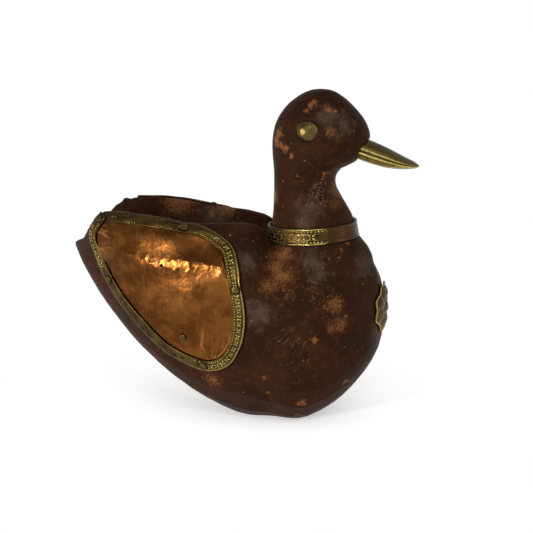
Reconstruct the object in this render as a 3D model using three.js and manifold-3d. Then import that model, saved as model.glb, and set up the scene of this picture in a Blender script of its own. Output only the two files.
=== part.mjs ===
// A carved wooden duck ornament with copper wings and brass trim. Sizes are in millimetres.
// +X runs towards the beak, +Y to the duck's left and +Z up.
// The origin is on the flat foot that the duck stands on, below the shoulders.

import * as THREE from "three";
import { mergeVertices } from "three/addons/utils/BufferGeometryUtils.js";
import Module from "manifold-3d";

const wasm = await Module();
wasm.setup();
const { Vector2, Vector3 } = THREE;

// Clearances
const GAP = 0.35;
const PIN_FIT = 0.25;
const DOWEL_FIT = 0.3;
const FINEST = 0.05;

// Overall sizes. The lines of the body and the wings are drawn as shares of these: along from the tail
// tip to the tip of the breast, across from the middle to the widest place, and up from the foot.
const BODY_LENGTH = 209;
const BODY_WIDTH = 96;
const BODY_HEIGHT = 134.5;
const ORIGIN_ALONG = 0.66;
const alongAt = (share) => (share - ORIGIN_ALONG) * BODY_LENGTH;
const acrossAt = (share) => (share * BODY_WIDTH) / 2;
const upAt = (share) => share * BODY_HEIGHT;

// Lines of the carved body, from tail to breast. A station gives the keel as [along, up], and the beam,
// where the body is widest, and the rim, the top edge of the flank, as [along, across, up]. Top is how
// the flank goes from beam to rim: how far it has tipped over towards the back where it reaches the rim,
// in degrees, how soon it leaves the upright, and how far the slope of the rim is carried down.
const STATIONS = [
  {
    at: "tail tip",
    keel: [0, 0.788],
    beam: [0, 0, 0.796],
    rim: [0, 0, 0.803],
    top: [60, 0.42, 0.42],
  },
  {
    at: "rump",
    keel: [0.043, 0.684],
    beam: [0.043, 0.25, 0.788],
    rim: [0.048, 0.27, 0.84],
    top: [20, 0.42, 0.42],
  },
  {
    at: "wing tip",
    keel: [0.115, 0.524],
    beam: [0.12, 0.52, 0.75],
    rim: [0.124, 0.48, 0.985],
    top: [50, 0.16, 0.3],
  },
  {
    at: "hind wing",
    keel: [0.25, 0.29],
    beam: [0.25, 0.81, 0.7],
    rim: [0.25, 0.65, 1.001],
    top: [72, 0.08, 0.26],
  },
  {
    at: "mid wing",
    keel: [0.411, 0.09],
    beam: [0.411, 0.96, 0.69],
    rim: [0.42, 0.69, 0.968],
    top: [74, 0.2, 0.28],
  },
  {
    at: "shoulder",
    keel: [0.56, -0.013],
    beam: [0.59, 1, 0.71],
    rim: [0.617, 0.37, 0.948],
    top: [70, 0.44, 0.36],
  },
  {
    at: "nape",
    keel: [0.66, -0.013],
    beam: [0.675, 1, 0.6],
    rim: [0.675, 0.396, 0.855],
    top: [58, 0.3, 0.4],
  },
  {
    at: "neck",
    keel: [0.746, -0.013],
    beam: [0.756, 0.98, 0.48],
    rim: [0.766, 0.438, 0.833],
    top: [60, 0.42, 0.42],
  },
  {
    at: "fore neck",
    keel: [0.837, 0.06],
    beam: [0.852, 0.875, 0.46],
    rim: [0.861, 0.25, 0.833],
    top: [75, 0.42, 0.42],
  },
  {
    at: "throat",
    keel: [0.91, 0.17],
    beam: [0.923, 0.646, 0.476],
    rim: [0.923, 0, 0.822],
    top: [90, 0.42, 0.42],
  },
  {
    at: "breast",
    keel: [0.978, 0.335],
    beam: [0.978, 0.333, 0.52],
    rim: [0.974, 0, 0.72],
    top: [90, 0.42, 0.42],
  },
  {
    at: "breast tip",
    keel: [1, 0.535],
    beam: [1, 0, 0.543],
    rim: [1, 0, 0.55],
    top: [90, 0.42, 0.42],
  },
];
const LOWER_FULLNESS = 0.7;
const BODY_RINGS = 36;
const BODY_STEPS = 12;

// Hollow of the back, between the wings and open at the tail; its floor is given at both ends
const RIM_WIDTH = 3;
const HOLLOW_NECK_UP = 0.84;
const HOLLOW_TAIL_UP = 0.818;
const HOLLOW_STEEPNESS = 3;

// Neck joint: an oval seat between body and head, covered by the collar
const NECK_ALONG = 0.77;
const NECK_DROP = 12.5;
const NECK_LENGTH = 56;
const NECK_WIDTH = 50;
const NECK_X = alongAt(NECK_ALONG);
const NECK_SEAT_Z = BODY_HEIGHT - NECK_DROP;
const DOWEL_DIAMETER = 14;
const DOWEL_LENGTH = 54;
const DOWEL_CHAMFER = 1.5;

// Root of the neck in the body: how far it flares past the seat's oval, level by level below the seat
const ROOT = [
  { below: 42, back: -15, front: 3, side: 4 },
  { below: 30, back: -5, front: 10, side: 7.5 },
  { below: 20, back: 1, front: 12, side: 7 },
  { below: 10, back: 0.6, front: 8.5, side: 3 },
  { below: GAP, back: 0, front: 0, side: 0 },
];

// Neck and head above the seat, level by level: rise as a share of the height, back and front from the
// neck's axis as shares of the length, and half the width as a share of half the head's width
const HEAD_HEIGHT = 91;
const HEAD_LENGTH = 62.8;
const HEAD_WIDTH = 45;
const HEAD_FRONT = 0.589;
const HEAD = [
  { rise: 0.1, back: -0.408, front: 0.422, half: 1 },
  { rise: 0.22, back: -0.395, front: 0.326, half: 0.89 },
  { rise: 0.352, back: -0.395, front: 0.228, half: 0.845 },
  { rise: 0.44, back: -0.398, front: 0.272, half: 0.89 },
  { rise: 0.528, back: -0.408, front: 0.494, half: 0.955 },
  { rise: 0.648, back: -0.411, front: HEAD_FRONT, half: 1 },
  { rise: 0.77, back: -0.373, front: 0.541, half: 0.955 },
  { rise: 0.88, back: -0.27, front: 0.414, half: 0.778 },
  { rise: 0.95, back: -0.146, front: 0.296, half: 0.516 },
  { rise: 0.989, back: -0.032, front: 0.191, half: 0.258 },
  { rise: 1, back: 0.072, front: 0.088, half: 0.022 },
];
const HEAD_WIDEST = 0.46;
const HEAD_RINGS = 24;
const OVAL_STEPS = 28;

// Beak, let into a mortise in the head, with a mouth line cut along each side. Its sections run from the
// root to the tip: along as a share of the length, how far the mouth line has dropped, and how thick and
// wide the beak still is.
const BEAK_LENGTH = 39.3;
const BEAK_WIDTH = 18;
const BEAK_HEIGHT = 14.6;
const BEAK_DROP = 11;
const BEAK_RISE = 0.604;
const BEAK_DEPTH = 9;
const BEAK = [
  { along: 0, drop: 0, thick: 1, wide: 0.955 },
  { along: 0.23, drop: 0.27, thick: 0.98, wide: 1 },
  { along: 0.48, drop: 0.56, thick: 0.86, wide: 0.98 },
  { along: 0.74, drop: 0.82, thick: 0.56, wide: 0.89 },
  { along: 0.92, drop: 0.945, thick: 0.29, wide: 0.62 },
  { along: 1, drop: 1, thick: 0.08, wide: 0.22 },
];
const MOUTH_DEPTH = 0.8;

// Domed nails for the eyes, placed on the head as its levels are
const EYE_ALONG = 0.005;
const EYE_RISE = 0.735;
const EYE_DIAMETER = 14.2;
const EYE_HEIGHT = 4.6;
const EYE_SHANK_DIAMETER = 2.2;
const EYE_SHANK_LENGTH = 13;
const EYE_SEAT_DEPTH = 1;

// Collar: one strip bent round the neck, its outer end lapped over its inner end
const COLLAR_RISE = 1;
const COLLAR_TILT = 4;
const COLLAR_HEIGHT = 10;
const COLLAR_THICKNESS = 0.9;
const COLLAR_TAPER = 0.9;
const COLLAR_LAP_ANGLE = -62;
const COLLAR_LAP = 13;
const COLLAR_Z = NECK_SEAT_Z + COLLAR_RISE;
const COLLAR_SEAT = 3 * GAP + 2 * COLLAR_THICKNESS;

// Wing: a copper sheet, with one brass strip nailed round its edge. The strip's middle line runs from
// beside the wing tip along the top, down the front, back along the bottom and up to the tip, as
// [along, up] from the side. The named points carry a pin.
const EDGING = [
  { at: [0.169, 0.983] },
  { at: [0.239, 0.98] },
  { at: [0.302, 0.976] },
  { at: [0.354, 0.967] },
  { at: [0.413, 0.951], pin: "top" },
  { at: [0.461, 0.938] },
  { at: [0.508, 0.905] },
  { at: [0.547, 0.861] },
  { at: [0.566, 0.805] },
  { at: [0.583, 0.69], pin: "front" },
  { at: [0.593, 0.565] },
  { at: [0.583, 0.44] },
  { at: [0.553, 0.352] },
  { at: [0.52, 0.314] },
  { at: [0.475, 0.304], pin: "low" },
  { at: [0.413, 0.332] },
  { at: [0.352, 0.38] },
  { at: [0.28, 0.477] },
  { at: [0.205, 0.6] },
  { at: [0.166, 0.677], pin: "rear" },
  { at: [0.128, 0.783] },
  { at: [0.107, 0.86] },
  { at: [0.109, 0.905] },
  { at: [0.122, 0.938] },
  { at: [0.136, 0.964], pin: "tip" },
  { at: [0.145, 0.984] },
];
const STRIP_WIDTH = 7.8;
const STRIP_THICKNESS = 0.8;
const STRIP_RINGS = 60;
const STRIP_FOLD = 0.9;
const SHEET_THICKNESS = 0.5;
const SHEET_UNDERLAP = 1;
const SHEET_MIDDLE = [0.364, 0.669];
const SHEET_PIN = [0.413, 0.436];
const SHEET_HOLE = [0.353, 0.781];
const SHEET_HOLE_DIAMETER = 1.9;
const SHEET_STEPS = 60;
const SHEET_RINGS = 6;
const SHEET_CROWDING = 1.6;

// Brass pins
const PIN_HEAD_DIAMETER = 5;
const PIN_HEAD_HEIGHT = 1.7;
const PIN_DIAMETER = 1.6;
const PIN_LENGTH = 10;

// Rosette on the breast, bent to a seat let into the wood
const ROSETTE_UP = 0.554;
const ROSETTE_DIAMETER = 33;
const ROSETTE_LOBES = 8;
const ROSETTE_THICKNESS = 0.9;
const ROSETTE_RELIEF = 1.5;
const ROSETTE_SEAT_DEPTH = 0.86;
const ROSETTE_BEND_ACROSS = 27;
const ROSETTE_BEND_UP = 70;
const ROSETTE_PIN_INSET = 4.3;
const ROSETTE_Z = upAt(ROSETTE_UP);
const ROSETTE_SEAT_X = alongAt(1) - ROSETTE_SEAT_DEPTH;
const ROSETTE_PIN_REACH = ROSETTE_DIAMETER / 2 - ROSETTE_PIN_INSET;
const SMALL_PIN_HEAD_DIAMETER = 3.2;
const SMALL_PIN_HEAD_HEIGHT = 1.1;
const SMALL_PIN_DIAMETER = 1.4;
const SMALL_PIN_LENGTH = 8;

// Solids

function volumeOf(points, index) {
  const [a, b, c] = [new Vector3(), new Vector3(), new Vector3()];
  let total = 0;
  for (let i = 0; i < index.length; i += 3) {
    a.fromArray(points, index[i] * 3);
    b.fromArray(points, index[i + 1] * 3);
    c.fromArray(points, index[i + 2] * 3);
    total += a.dot(b.cross(c));
  }
  return total / 6;
}

function solidOf(made) {
  const bare = made.clone();
  bare.deleteAttribute("normal");
  bare.deleteAttribute("uv");
  const merged = mergeVertices(bare, 1e-4);
  const points = new Float32Array(merged.attributes.position.array);
  const all = merged.index.array;
  const kept = [];
  for (let i = 0; i < all.length; i += 3) {
    const [a, b, c] = all.slice(i, i + 3);
    if (a !== b && b !== c && c !== a) kept.push(a, b, c);
  }
  if (volumeOf(points, kept) < 0) kept.reverse();
  const mesh = new wasm.Mesh({
    numProp: 3,
    vertProperties: points,
    triVerts: new Uint32Array(kept),
  });
  return new wasm.Manifold(mesh);
}

function geometryOf(solid) {
  const mesh = solid.getMesh();
  const made = new THREE.BufferGeometry();
  made.setAttribute("position", new THREE.BufferAttribute(mesh.vertProperties, 3));
  made.setIndex(new THREE.BufferAttribute(mesh.triVerts, 1));
  return made;
}

// A skin over rings of points that all have the same count. The first and last ring are closed, with
// the outline given for rings that are not plainly round.
function loft(rings, outline = null) {
  const n = rings[0].length;
  const index = [];
  for (let r = 0; r + 1 < rings.length; r++) {
    for (let k = 0; k < n; k++) {
      const a = r * n + k;
      const b = r * n + ((k + 1) % n);
      index.push(a, b, b + n, a, b + n, a + n);
    }
  }
  const round = Array.from({ length: n }, (_, k) => {
    const turn = (k / n) * 2 * Math.PI;
    return new Vector2(Math.cos(turn), Math.sin(turn));
  });
  const last = (rings.length - 1) * n;
  for (const [a, b, c] of THREE.ShapeUtils.triangulateShape(outline ?? round, [])) {
    index.push(a, c, b);
    index.push(last + a, last + b, last + c);
  }
  const made = new THREE.BufferGeometry();
  const position = rings.flat().flatMap((p) => p.toArray());
  made.setAttribute("position", new THREE.Float32BufferAttribute(position, 3));
  made.setIndex(index);
  return solidOf(made);
}

const UP = new Vector3(0, 1, 0);

// A turned piece whose axis stands on a point and runs along a direction.
function turned(profile, steps, foot, direction) {
  const made = new THREE.LatheGeometry(profile.map(([r, h]) => new Vector2(r, h)), steps);
  made.applyQuaternion(new THREE.Quaternion().setFromUnitVectors(UP, direction));
  made.translate(...foot.toArray());
  return solidOf(made);
}

function bore(diameter, from, to, foot, direction) {
  const r = diameter / 2;
  return turned([[0, from], [r, from], [r, to], [0, to]], 10, foot, direction);
}

// A nail with a domed head; its head sits on the foot point and its shank runs the other way.
function nail(headDiameter, headHeight, diameter, length, steps, foot, direction) {
  const profile = [[0, -length], [diameter / 2, -length + 1.5 * diameter], [diameter / 2, 0]];
  const lip = headHeight * 0.2;
  profile.push([headDiameter / 2, 0]);
  for (let k = 0; k <= 4; k++) {
    const turn = (k / 4) * (Math.PI / 2);
    const radius = k === 4 ? 0 : (headDiameter / 2) * Math.cos(turn);
    profile.push([radius, lip + (headHeight - lip) * Math.sin(turn)]);
  }
  return turned(profile, steps, foot, direction);
}

const mirrored = (p) => new Vector3(p.x, -p.y, p.z);
const sided = (p, side) => (side < 0 ? mirrored(p) : p.clone());

// The flank of the body: u runs from tail to breast and v from keel to rim

const lineThrough = (pick) => new THREE.CatmullRomCurve3(STATIONS.map(pick));
const drawnAt = ([along, across, up]) => new Vector3(alongAt(along), acrossAt(across), upAt(up));
const keelLine = lineThrough((s) => drawnAt([s.keel[0], 0, s.keel[1]]));
const beamLine = lineThrough((s) => drawnAt(s.beam));
const rimLine = lineThrough((s) => drawnAt(s.rim));

function topAt(u) {
  const along = u * (STATIONS.length - 1);
  const i = Math.min(Math.floor(along), STATIONS.length - 2);
  const next = STATIONS[i + 1].top;
  return STATIONS[i].top.map((value, k) => THREE.MathUtils.lerp(value, next[k], along - i));
}

function flank(u, v) {
  const keel = keelLine.getPoint(u);
  const beam = beamLine.getPoint(u);
  const rim = rimLine.getPoint(u);
  if (v < 0.5) {
    const out = keel.clone().add(new Vector3(0, beam.y * LOWER_FULLNESS, 0));
    const under = beam.clone().add(new Vector3(0, 0, (keel.z - beam.z) * LOWER_FULLNESS));
    return new THREE.CubicBezierCurve3(keel, out, under, beam).getPoint(v * 2);
  }
  const [degrees, upright, carried] = topAt(u);
  const lean = THREE.MathUtils.degToRad(degrees);
  const reach = carried * beam.distanceTo(rim);
  const above = beam.clone().add(new Vector3(0, 0, (rim.z - beam.z) * upright));
  const below = rim.clone().add(new Vector3(0, reach * Math.sin(lean), -reach * Math.cos(lean)));
  return new THREE.CubicBezierCurve3(beam, above, below, rim).getPoint(v * 2 - 1);
}

const STEP = 1e-4;
const MOVE_STEPS = 6;
function slopes(u, v) {
  const du = flank(u + STEP, v).sub(flank(u - STEP, v)).divideScalar(2 * STEP);
  const dv = flank(u, v + STEP).sub(flank(u, v - STEP)).divideScalar(2 * STEP);
  return { du, dv };
}

function outward(u, v) {
  const { du, dv } = slopes(u, v);
  return dv.cross(du).normalize();
}

function lifted([u, v], height) {
  return flank(u, v).addScaledVector(outward(u, v), height);
}

// The share at which something that grows comes to a value.
function shareAt(value, grown) {
  let share = 0.5;
  for (let step = 0.25; step > 1e-7; step /= 2) share += grown(share) < value ? step : -step;
  return share;
}

// The flank's u and v at a place drawn from the side.
function spotAt([along, up]) {
  let [u, v] = [0.5, 0.5];
  for (let k = 0; k < 12; k++) {
    const held = v;
    u = shareAt(alongAt(along), (share) => flank(share, held).x);
    v = shareAt(upAt(up), (share) => flank(u, share).z);
    if (Math.abs(v - held) < 1e-6) break;
  }
  return [u, v];
}

// The spot reached by stepping along the surface, in short steps.
function moved(spot, step) {
  let [u, v] = spot;
  const part = step.clone().divideScalar(MOVE_STEPS);
  for (let k = 0; k < MOVE_STEPS; k++) {
    const { du, dv } = slopes(u, v);
    const [uu, uv, vv] = [du.dot(du), du.dot(dv), dv.dot(dv)];
    const [su, sv] = [du.dot(part), dv.dot(part)];
    const det = uu * vv - uv * uv;
    u += (su * vv - sv * uv) / det;
    v = Math.min(v + (sv * uu - su * uv) / det, 1 - 2 * STEP);
  }
  return [u, v];
}

// Body

function hull() {
  const rings = [];
  for (let r = 0; r <= BODY_RINGS; r++) {
    const left = [];
    for (let k = 0; k <= BODY_STEPS; k++) left.push(flank(r / BODY_RINGS, k / BODY_STEPS));
    rings.push([...left.slice(1).map(mirrored).reverse(), ...left]);
  }
  return loft(rings);
}

function hollow() {
  const RINGS = 20;
  const STEPS = 10;
  const end = STATIONS.findIndex((s) => s.at === "nape") / (STATIONS.length - 1);
  const start = rimLine.getPoint(0).x;
  const run = rimLine.getPoint(end).x - start;
  const rings = [];
  let outline = null;
  for (let r = 0; r <= RINGS; r++) {
    const rim = rimLine.getPoint(THREE.MathUtils.lerp(0.01, end, r / RINGS));
    const half = Math.max(rim.y - RIM_WIDTH, 0.5);
    const floor = upAt(THREE.MathUtils.lerp(HOLLOW_TAIL_UP, HOLLOW_NECK_UP, (rim.x - start) / run));
    const top = Math.max(rim.z, floor + 0.3);
    const ring = [];
    for (let k = 0; k <= STEPS; k++) {
      const across = -1 + (2 * k) / STEPS;
      const rise = (top - floor) * Math.abs(across) ** HOLLOW_STEEPNESS;
      ring.push(new Vector3(rim.x, half * across, floor + rise));
    }
    ring.push(new Vector3(rim.x, half, top + 20), new Vector3(rim.x, -half, top + 20));
    outline ??= ring.map((p) => new Vector2(p.y, p.z));
    rings.push(ring);
  }
  return loft(rings, outline);
}

// Root of the neck, and the head

const neckSeat = {
  back: NECK_X - NECK_LENGTH / 2,
  front: NECK_X + NECK_LENGTH / 2,
  half: NECK_WIDTH / 2,
};
const rootLevels = ROOT.map(({ below, back, front, side }) => ({
  z: NECK_SEAT_Z - below,
  back: neckSeat.back - back,
  front: neckSeat.front + front,
  half: neckSeat.half + side,
}));
const headLevels = HEAD.map(({ rise, back, front, half }) => ({
  z: NECK_SEAT_Z + rise * HEAD_HEIGHT,
  back: NECK_X + back * HEAD_LENGTH,
  front: NECK_X + front * HEAD_LENGTH,
  half: (half * HEAD_WIDTH) / 2,
}));
headLevels.unshift({ z: NECK_SEAT_Z, ...neckSeat });

// A point of the ovals through such levels, each made of a front and a back half.
function ovalAt(levels, along, turn, widest) {
  const back = new THREE.CatmullRomCurve3(levels.map((s) => new Vector3(s.back, s.half, s.z)));
  const front = new THREE.CatmullRomCurve3(levels.map((s) => new Vector3(s.front, s.half, s.z)));
  const b = back.getPoint(along);
  const f = front.getPoint(along);
  const mid = THREE.MathUtils.lerp(b.x, f.x, widest);
  const c = Math.cos(turn);
  const share = (1 + c) / 2;
  const x = mid + c * (c > 0 ? f.x - mid : mid - b.x);
  const y = THREE.MathUtils.lerp(b.y, f.y, share) * Math.sin(turn);
  return new Vector3(x, y, THREE.MathUtils.lerp(b.z, f.z, share));
}

// Rings of them. No point lies on the middle plane, where the two flanks meet along a seam.
function ovals(levels, rings, widest) {
  return Array.from({ length: rings + 1 }, (_, r) =>
    Array.from({ length: OVAL_STEPS }, (_, k) =>
      ovalAt(levels, r / rings, ((k + 0.5) / OVAL_STEPS) * 2 * Math.PI, widest),
    ),
  );
}

function box(width, depth, height, centre) {
  const made = new THREE.BoxGeometry(width, depth, height);
  made.translate(...centre);
  return solidOf(made);
}

// Collar, and the band of wood that is pared away under it

function neckOval(turn, grow, z) {
  const x = NECK_X + (NECK_LENGTH / 2 + grow) * Math.cos(turn);
  return new Vector3(x, (NECK_WIDTH / 2 + grow) * Math.sin(turn), z);
}

// The same oval on the collar's own slope, which rises towards the breast, and with its taper.
function collarOval(turn, grow, z) {
  const taper = (COLLAR_TAPER * (COLLAR_Z - z)) / (COLLAR_HEIGHT / 2);
  const p = neckOval(turn, grow + taper, z);
  p.z += Math.tan(THREE.MathUtils.degToRad(COLLAR_TILT)) * (p.x - NECK_X);
  return p;
}

function collarSolid() {
  const STEPS = 64;
  const first = COLLAR_LAP_ANGLE - COLLAR_LAP;
  const sweep = 360 + COLLAR_LAP;
  const low = COLLAR_Z - COLLAR_HEIGHT / 2;
  const high = COLLAR_Z + COLLAR_HEIGHT / 2;
  const rings = [];
  for (let k = 0; k <= STEPS; k++) {
    const along = (k / STEPS) * sweep;
    const over = THREE.MathUtils.smoothstep(along, 360 - 1.6 * COLLAR_LAP, 360 - 0.6 * COLLAR_LAP);
    const inner = GAP + over * (COLLAR_THICKNESS + GAP);
    const outer = inner + COLLAR_THICKNESS;
    const turn = THREE.MathUtils.degToRad(first + along);
    rings.push([
      collarOval(turn, inner, low),
      collarOval(turn, outer, low),
      collarOval(turn, outer, high),
      collarOval(turn, inner, high),
    ]);
  }
  return loft(rings);
}

const NECK_STEPS = 48;
const discOf = (oval, grow, z) =>
  Array.from({ length: NECK_STEPS }, (_, k) => oval((k / NECK_STEPS) * 2 * Math.PI, grow, z));

function collarSeat() {
  const low = COLLAR_Z - COLLAR_HEIGHT / 2 - GAP;
  const high = COLLAR_Z + COLLAR_HEIGHT / 2 + GAP;
  const core = [discOf(collarOval, 0, low - 2), discOf(collarOval, 0, high + 2)];
  const room = [discOf(collarOval, COLLAR_SEAT, low), discOf(collarOval, COLLAR_SEAT, high)];
  return loft(room).subtract(loft(core));
}

// The room that the neck takes above its seat.
function neckRoom() {
  const top = COLLAR_Z + COLLAR_HEIGHT;
  return loft([discOf(neckOval, GAP, NECK_SEAT_Z - GAP), discOf(neckOval, GAP, top)]);
}

// Wing

const edgingLine = new THREE.CatmullRomCurve3(EDGING.map(({ at }) => drawnAt([at[0], 0, at[1]])));
const drawnFrom = (p) => [p.x / BODY_LENGTH + ORIGIN_ALONG, p.z / BODY_HEIGHT];

// Places along the edging's middle line, each with its spot and the way in towards the wing's middle.
function edgingPlaces(count) {
  const spots = edgingLine.getSpacedPoints(count).map((p) => spotAt(drawnFrom(p)));
  return spots.map((spot, k) => {
    const behind = lifted(spots[Math.max(k - 1, 0)], 0);
    const ahead = lifted(spots[Math.min(k + 1, count)], 0);
    const inward = outward(...spot).cross(ahead.sub(behind)).normalize();
    return { spot, inward };
  });
}

const SHEET_TOP = GAP + SHEET_THICKNESS;
const STRIP_FOOT = SHEET_TOP + GAP;
const STRIP_TOP = STRIP_FOOT + STRIP_THICKNESS;

// The strip lies on the wood outside and steps up over the edge of the sheet.
function edging(side) {
  const half = STRIP_WIDTH / 2;
  const profile = [
    [-half, GAP],
    [-half + 1.3, GAP],
    [-half + 2.1, STRIP_FOOT],
    [STRIP_FOLD, STRIP_FOOT],
    [half, STRIP_FOOT],
    [half, STRIP_TOP],
    [STRIP_FOLD, STRIP_TOP],
    [-half + 1.9, STRIP_TOP],
    [-half + 1.1, GAP + STRIP_THICKNESS],
    [-half, GAP + STRIP_THICKNESS],
  ];
  const rings = edgingPlaces(STRIP_RINGS).map(({ spot, inward }) =>
    profile.map(([s, h]) => sided(lifted(moved(spot, inward.clone().multiplyScalar(s)), h), side)),
  );
  return loft(rings, profile.map(([s, h]) => new Vector2(s, h)));
}

function sheet(side) {
  const middle = spotAt(SHEET_MIDDLE);
  const edge = edgingPlaces(SHEET_STEPS).map(({ spot, inward }) =>
    moved(spot, inward.clone().multiplyScalar(-SHEET_UNDERLAP)),
  );
  const [first, last] = [edge[0], edge[edge.length - 1]];
  edge.push([(first[0] + last[0]) / 2, (first[1] + last[1]) / 2]);
  const ring = (share, height) =>
    edge.map(([u, v]) => {
      const spot = [
        THREE.MathUtils.lerp(middle[0], u, share),
        THREE.MathUtils.lerp(middle[1], v, share),
      ];
      return sided(lifted(spot, height), side);
    });
  const shareOf = (k) => 1 - (1 - k / SHEET_RINGS) ** SHEET_CROWDING;
  const under = Array.from({ length: SHEET_RINGS + 1 }, (_, k) => ring(shareOf(k), GAP));
  const over = Array.from({ length: SHEET_RINGS + 1 }, (_, k) => ring(shareOf(SHEET_RINGS - k), SHEET_TOP));
  return loft([...under, ...over]);
}

// Where each pin of a wing stands: on the strip, or on the sheet.
function wingPins(side) {
  const onStrip = EDGING.filter((p) => p.pin).map((p) => ({ ...p, seat: STRIP_TOP + GAP }));
  const onSheet = { at: SHEET_PIN, pin: "sheet", seat: SHEET_TOP + GAP };
  return [...onStrip, onSheet].map(({ at, pin, seat }) => {
    const spot = spotAt(at);
    const direction = sided(outward(...spot), side);
    return { pin, direction, foot: sided(lifted(spot, seat), side) };
  });
}

function wingHoles(side) {
  return wingPins(side).map(({ foot, direction }) =>
    bore(PIN_DIAMETER + 2 * PIN_FIT, -PIN_LENGTH - GAP, 1, foot, direction),
  );
}

// Rosette, bent to the breast

function breastCap(y, z, lift) {
  const rise = z - ROSETTE_Z;
  const x = ROSETTE_SEAT_X - (y * y) / (2 * ROSETTE_BEND_ACROSS) - (rise * rise) / (2 * ROSETTE_BEND_UP);
  return new Vector3(x + lift, y, z);
}

function cappedDisc(radiusAt, rings, steps, liftAt) {
  const ring = (share, face) =>
    Array.from({ length: steps }, (_, k) => {
      const turn = (k / steps) * 2 * Math.PI;
      const r = share * radiusAt(turn);
      const [y, z] = [r * Math.cos(turn), ROSETTE_Z + r * Math.sin(turn)];
      return breastCap(y, z, liftAt(face, share, turn));
    });
  const back = Array.from({ length: rings + 1 }, (_, k) => ring(k / rings, "back"));
  const front = Array.from({ length: rings + 1 }, (_, k) => ring(1 - k / rings, "front"));
  return loft([...back, ...front]);
}

function rosetteSolid() {
  const lobe = (turn) => 0.5 - 0.5 * Math.cos(ROSETTE_LOBES * turn);
  const relief = (share, turn) => {
    const boss = ROSETTE_RELIEF * Math.max(0, 1 - (share / 0.3) ** 2);
    const petal = share < 0.3 ? 0 : Math.sin(((share - 0.3) / 0.7) * Math.PI);
    return boss + ROSETTE_RELIEF * petal * lobe(turn);
  };
  return cappedDisc(
    (turn) => (ROSETTE_DIAMETER / 2) * (0.9 + 0.1 * lobe(turn)),
    7,
    32,
    (face, share, turn) => GAP + (face === "back" ? 0 : ROSETTE_THICKNESS + relief(share, turn)),
  );
}

function rosetteSeat() {
  return cappedDisc(() => ROSETTE_DIAMETER / 2 + GAP, 4, 24, (face) => (face === "back" ? 0 : 12));
}

const rosettePins = [["top", 1], ["bottom", -1]].map(([pin, up]) => {
  const rise = up * ROSETTE_PIN_REACH;
  const foot = breastCap(0, ROSETTE_Z + rise, GAP + ROSETTE_THICKNESS + GAP);
  return { pin, foot, direction: new Vector3(1, 0, rise / ROSETTE_BEND_UP).normalize() };
});

const rosetteHoles = rosettePins.map(({ foot, direction }) =>
  bore(SMALL_PIN_DIAMETER + 2 * PIN_FIT, -SMALL_PIN_LENGTH - GAP, 4, foot, direction),
);

// Head

function headAlong(z) {
  let along = 0.5;
  for (let step = 0.25; step > 1e-4; step /= 2) {
    along += ovalAt(headLevels, along, Math.PI / 2, HEAD_WIDEST).z < z ? step : -step;
  }
  return along;
}

function eyePlace(side) {
  const along = headAlong(NECK_SEAT_Z + EYE_RISE * HEAD_HEIGHT);
  const x = NECK_X + EYE_ALONG * HEAD_LENGTH;
  let turn = Math.PI / 2;
  for (let step = Math.PI / 4; step > 1e-4; step /= 2) {
    turn += ovalAt(headLevels, along, turn, HEAD_WIDEST).x > x ? step : -step;
  }
  const here = ovalAt(headLevels, along, turn, HEAD_WIDEST);
  const up = ovalAt(headLevels, along + 0.01, turn, HEAD_WIDEST).sub(here);
  const round = ovalAt(headLevels, along, turn + 0.01, HEAD_WIDEST).sub(here);
  const direction = round.cross(up).normalize();
  return { foot: sided(here, side), direction: sided(direction, side) };
}

function eyeSolid(side) {
  const { foot, direction } = eyePlace(side);
  const seat = foot.clone().addScaledVector(direction, GAP - EYE_SEAT_DEPTH);
  return nail(EYE_DIAMETER, EYE_HEIGHT, EYE_SHANK_DIAMETER, EYE_SHANK_LENGTH, 22, seat, direction);
}

function eyeHoles(side) {
  const { foot, direction } = eyePlace(side);
  const floor = -EYE_SEAT_DEPTH;
  const r = EYE_DIAMETER / 2 + GAP;
  return [
    bore(EYE_SHANK_DIAMETER + 2 * PIN_FIT, floor - EYE_SHANK_LENGTH, 2, foot, direction),
    turned([[0, floor], [r, floor], [r, 8], [0, 8]], 22, foot, direction),
  ];
}

// The beak, or with grow the mortise that takes it.
function beakSolid(grow) {
  const ANGLES = [-90, -62, -38, -18, -7, 0, 7, 18, 38, 62, 90];
  const root = NECK_X + HEAD_FRONT * HEAD_LENGTH - BEAK_DEPTH;
  const sections = BEAK.map(({ along, drop, thick, wide }) => {
    const mouth = NECK_SEAT_Z + BEAK_RISE * HEAD_HEIGHT - drop * BEAK_DROP;
    const tall = (thick * BEAK_HEIGHT) / 2;
    const half = (wide * BEAK_WIDTH) / 2;
    return { x: root + along * BEAK_LENGTH, mouth, top: mouth + tall, low: mouth - tall, half };
  });
  const lines = ["top", "mouth", "low", "half"].map(
    (key) => new THREE.CatmullRomCurve3(sections.map((s) => new Vector3(s.x, 0, s[key]))),
  );
  const RINGS = 16;
  const rings = [];
  for (let r = 0; r <= RINGS; r++) {
    const [top, mouth, low, half] = lines.map((line) => line.getPoint(r / RINGS));
    const x = mouth.x - (r === 0 ? grow : 0);
    const side = ANGLES.map((degrees) => {
      const turn = THREE.MathUtils.degToRad(degrees);
      const cut = degrees === 0 && grow === 0 ? Math.min(MOUTH_DEPTH, half.z / 2) : 0;
      const y = (half.z + grow) * Math.cos(turn) - cut;
      const tall = degrees > 0 ? top.z - mouth.z : mouth.z - low.z;
      return new Vector3(x, Math.max(y, 0), mouth.z + (tall + grow) * Math.sin(turn));
    });
    rings.push([...side, ...side.slice(1, -1).map(mirrored).reverse()]);
  }
  return loft(rings);
}

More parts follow.
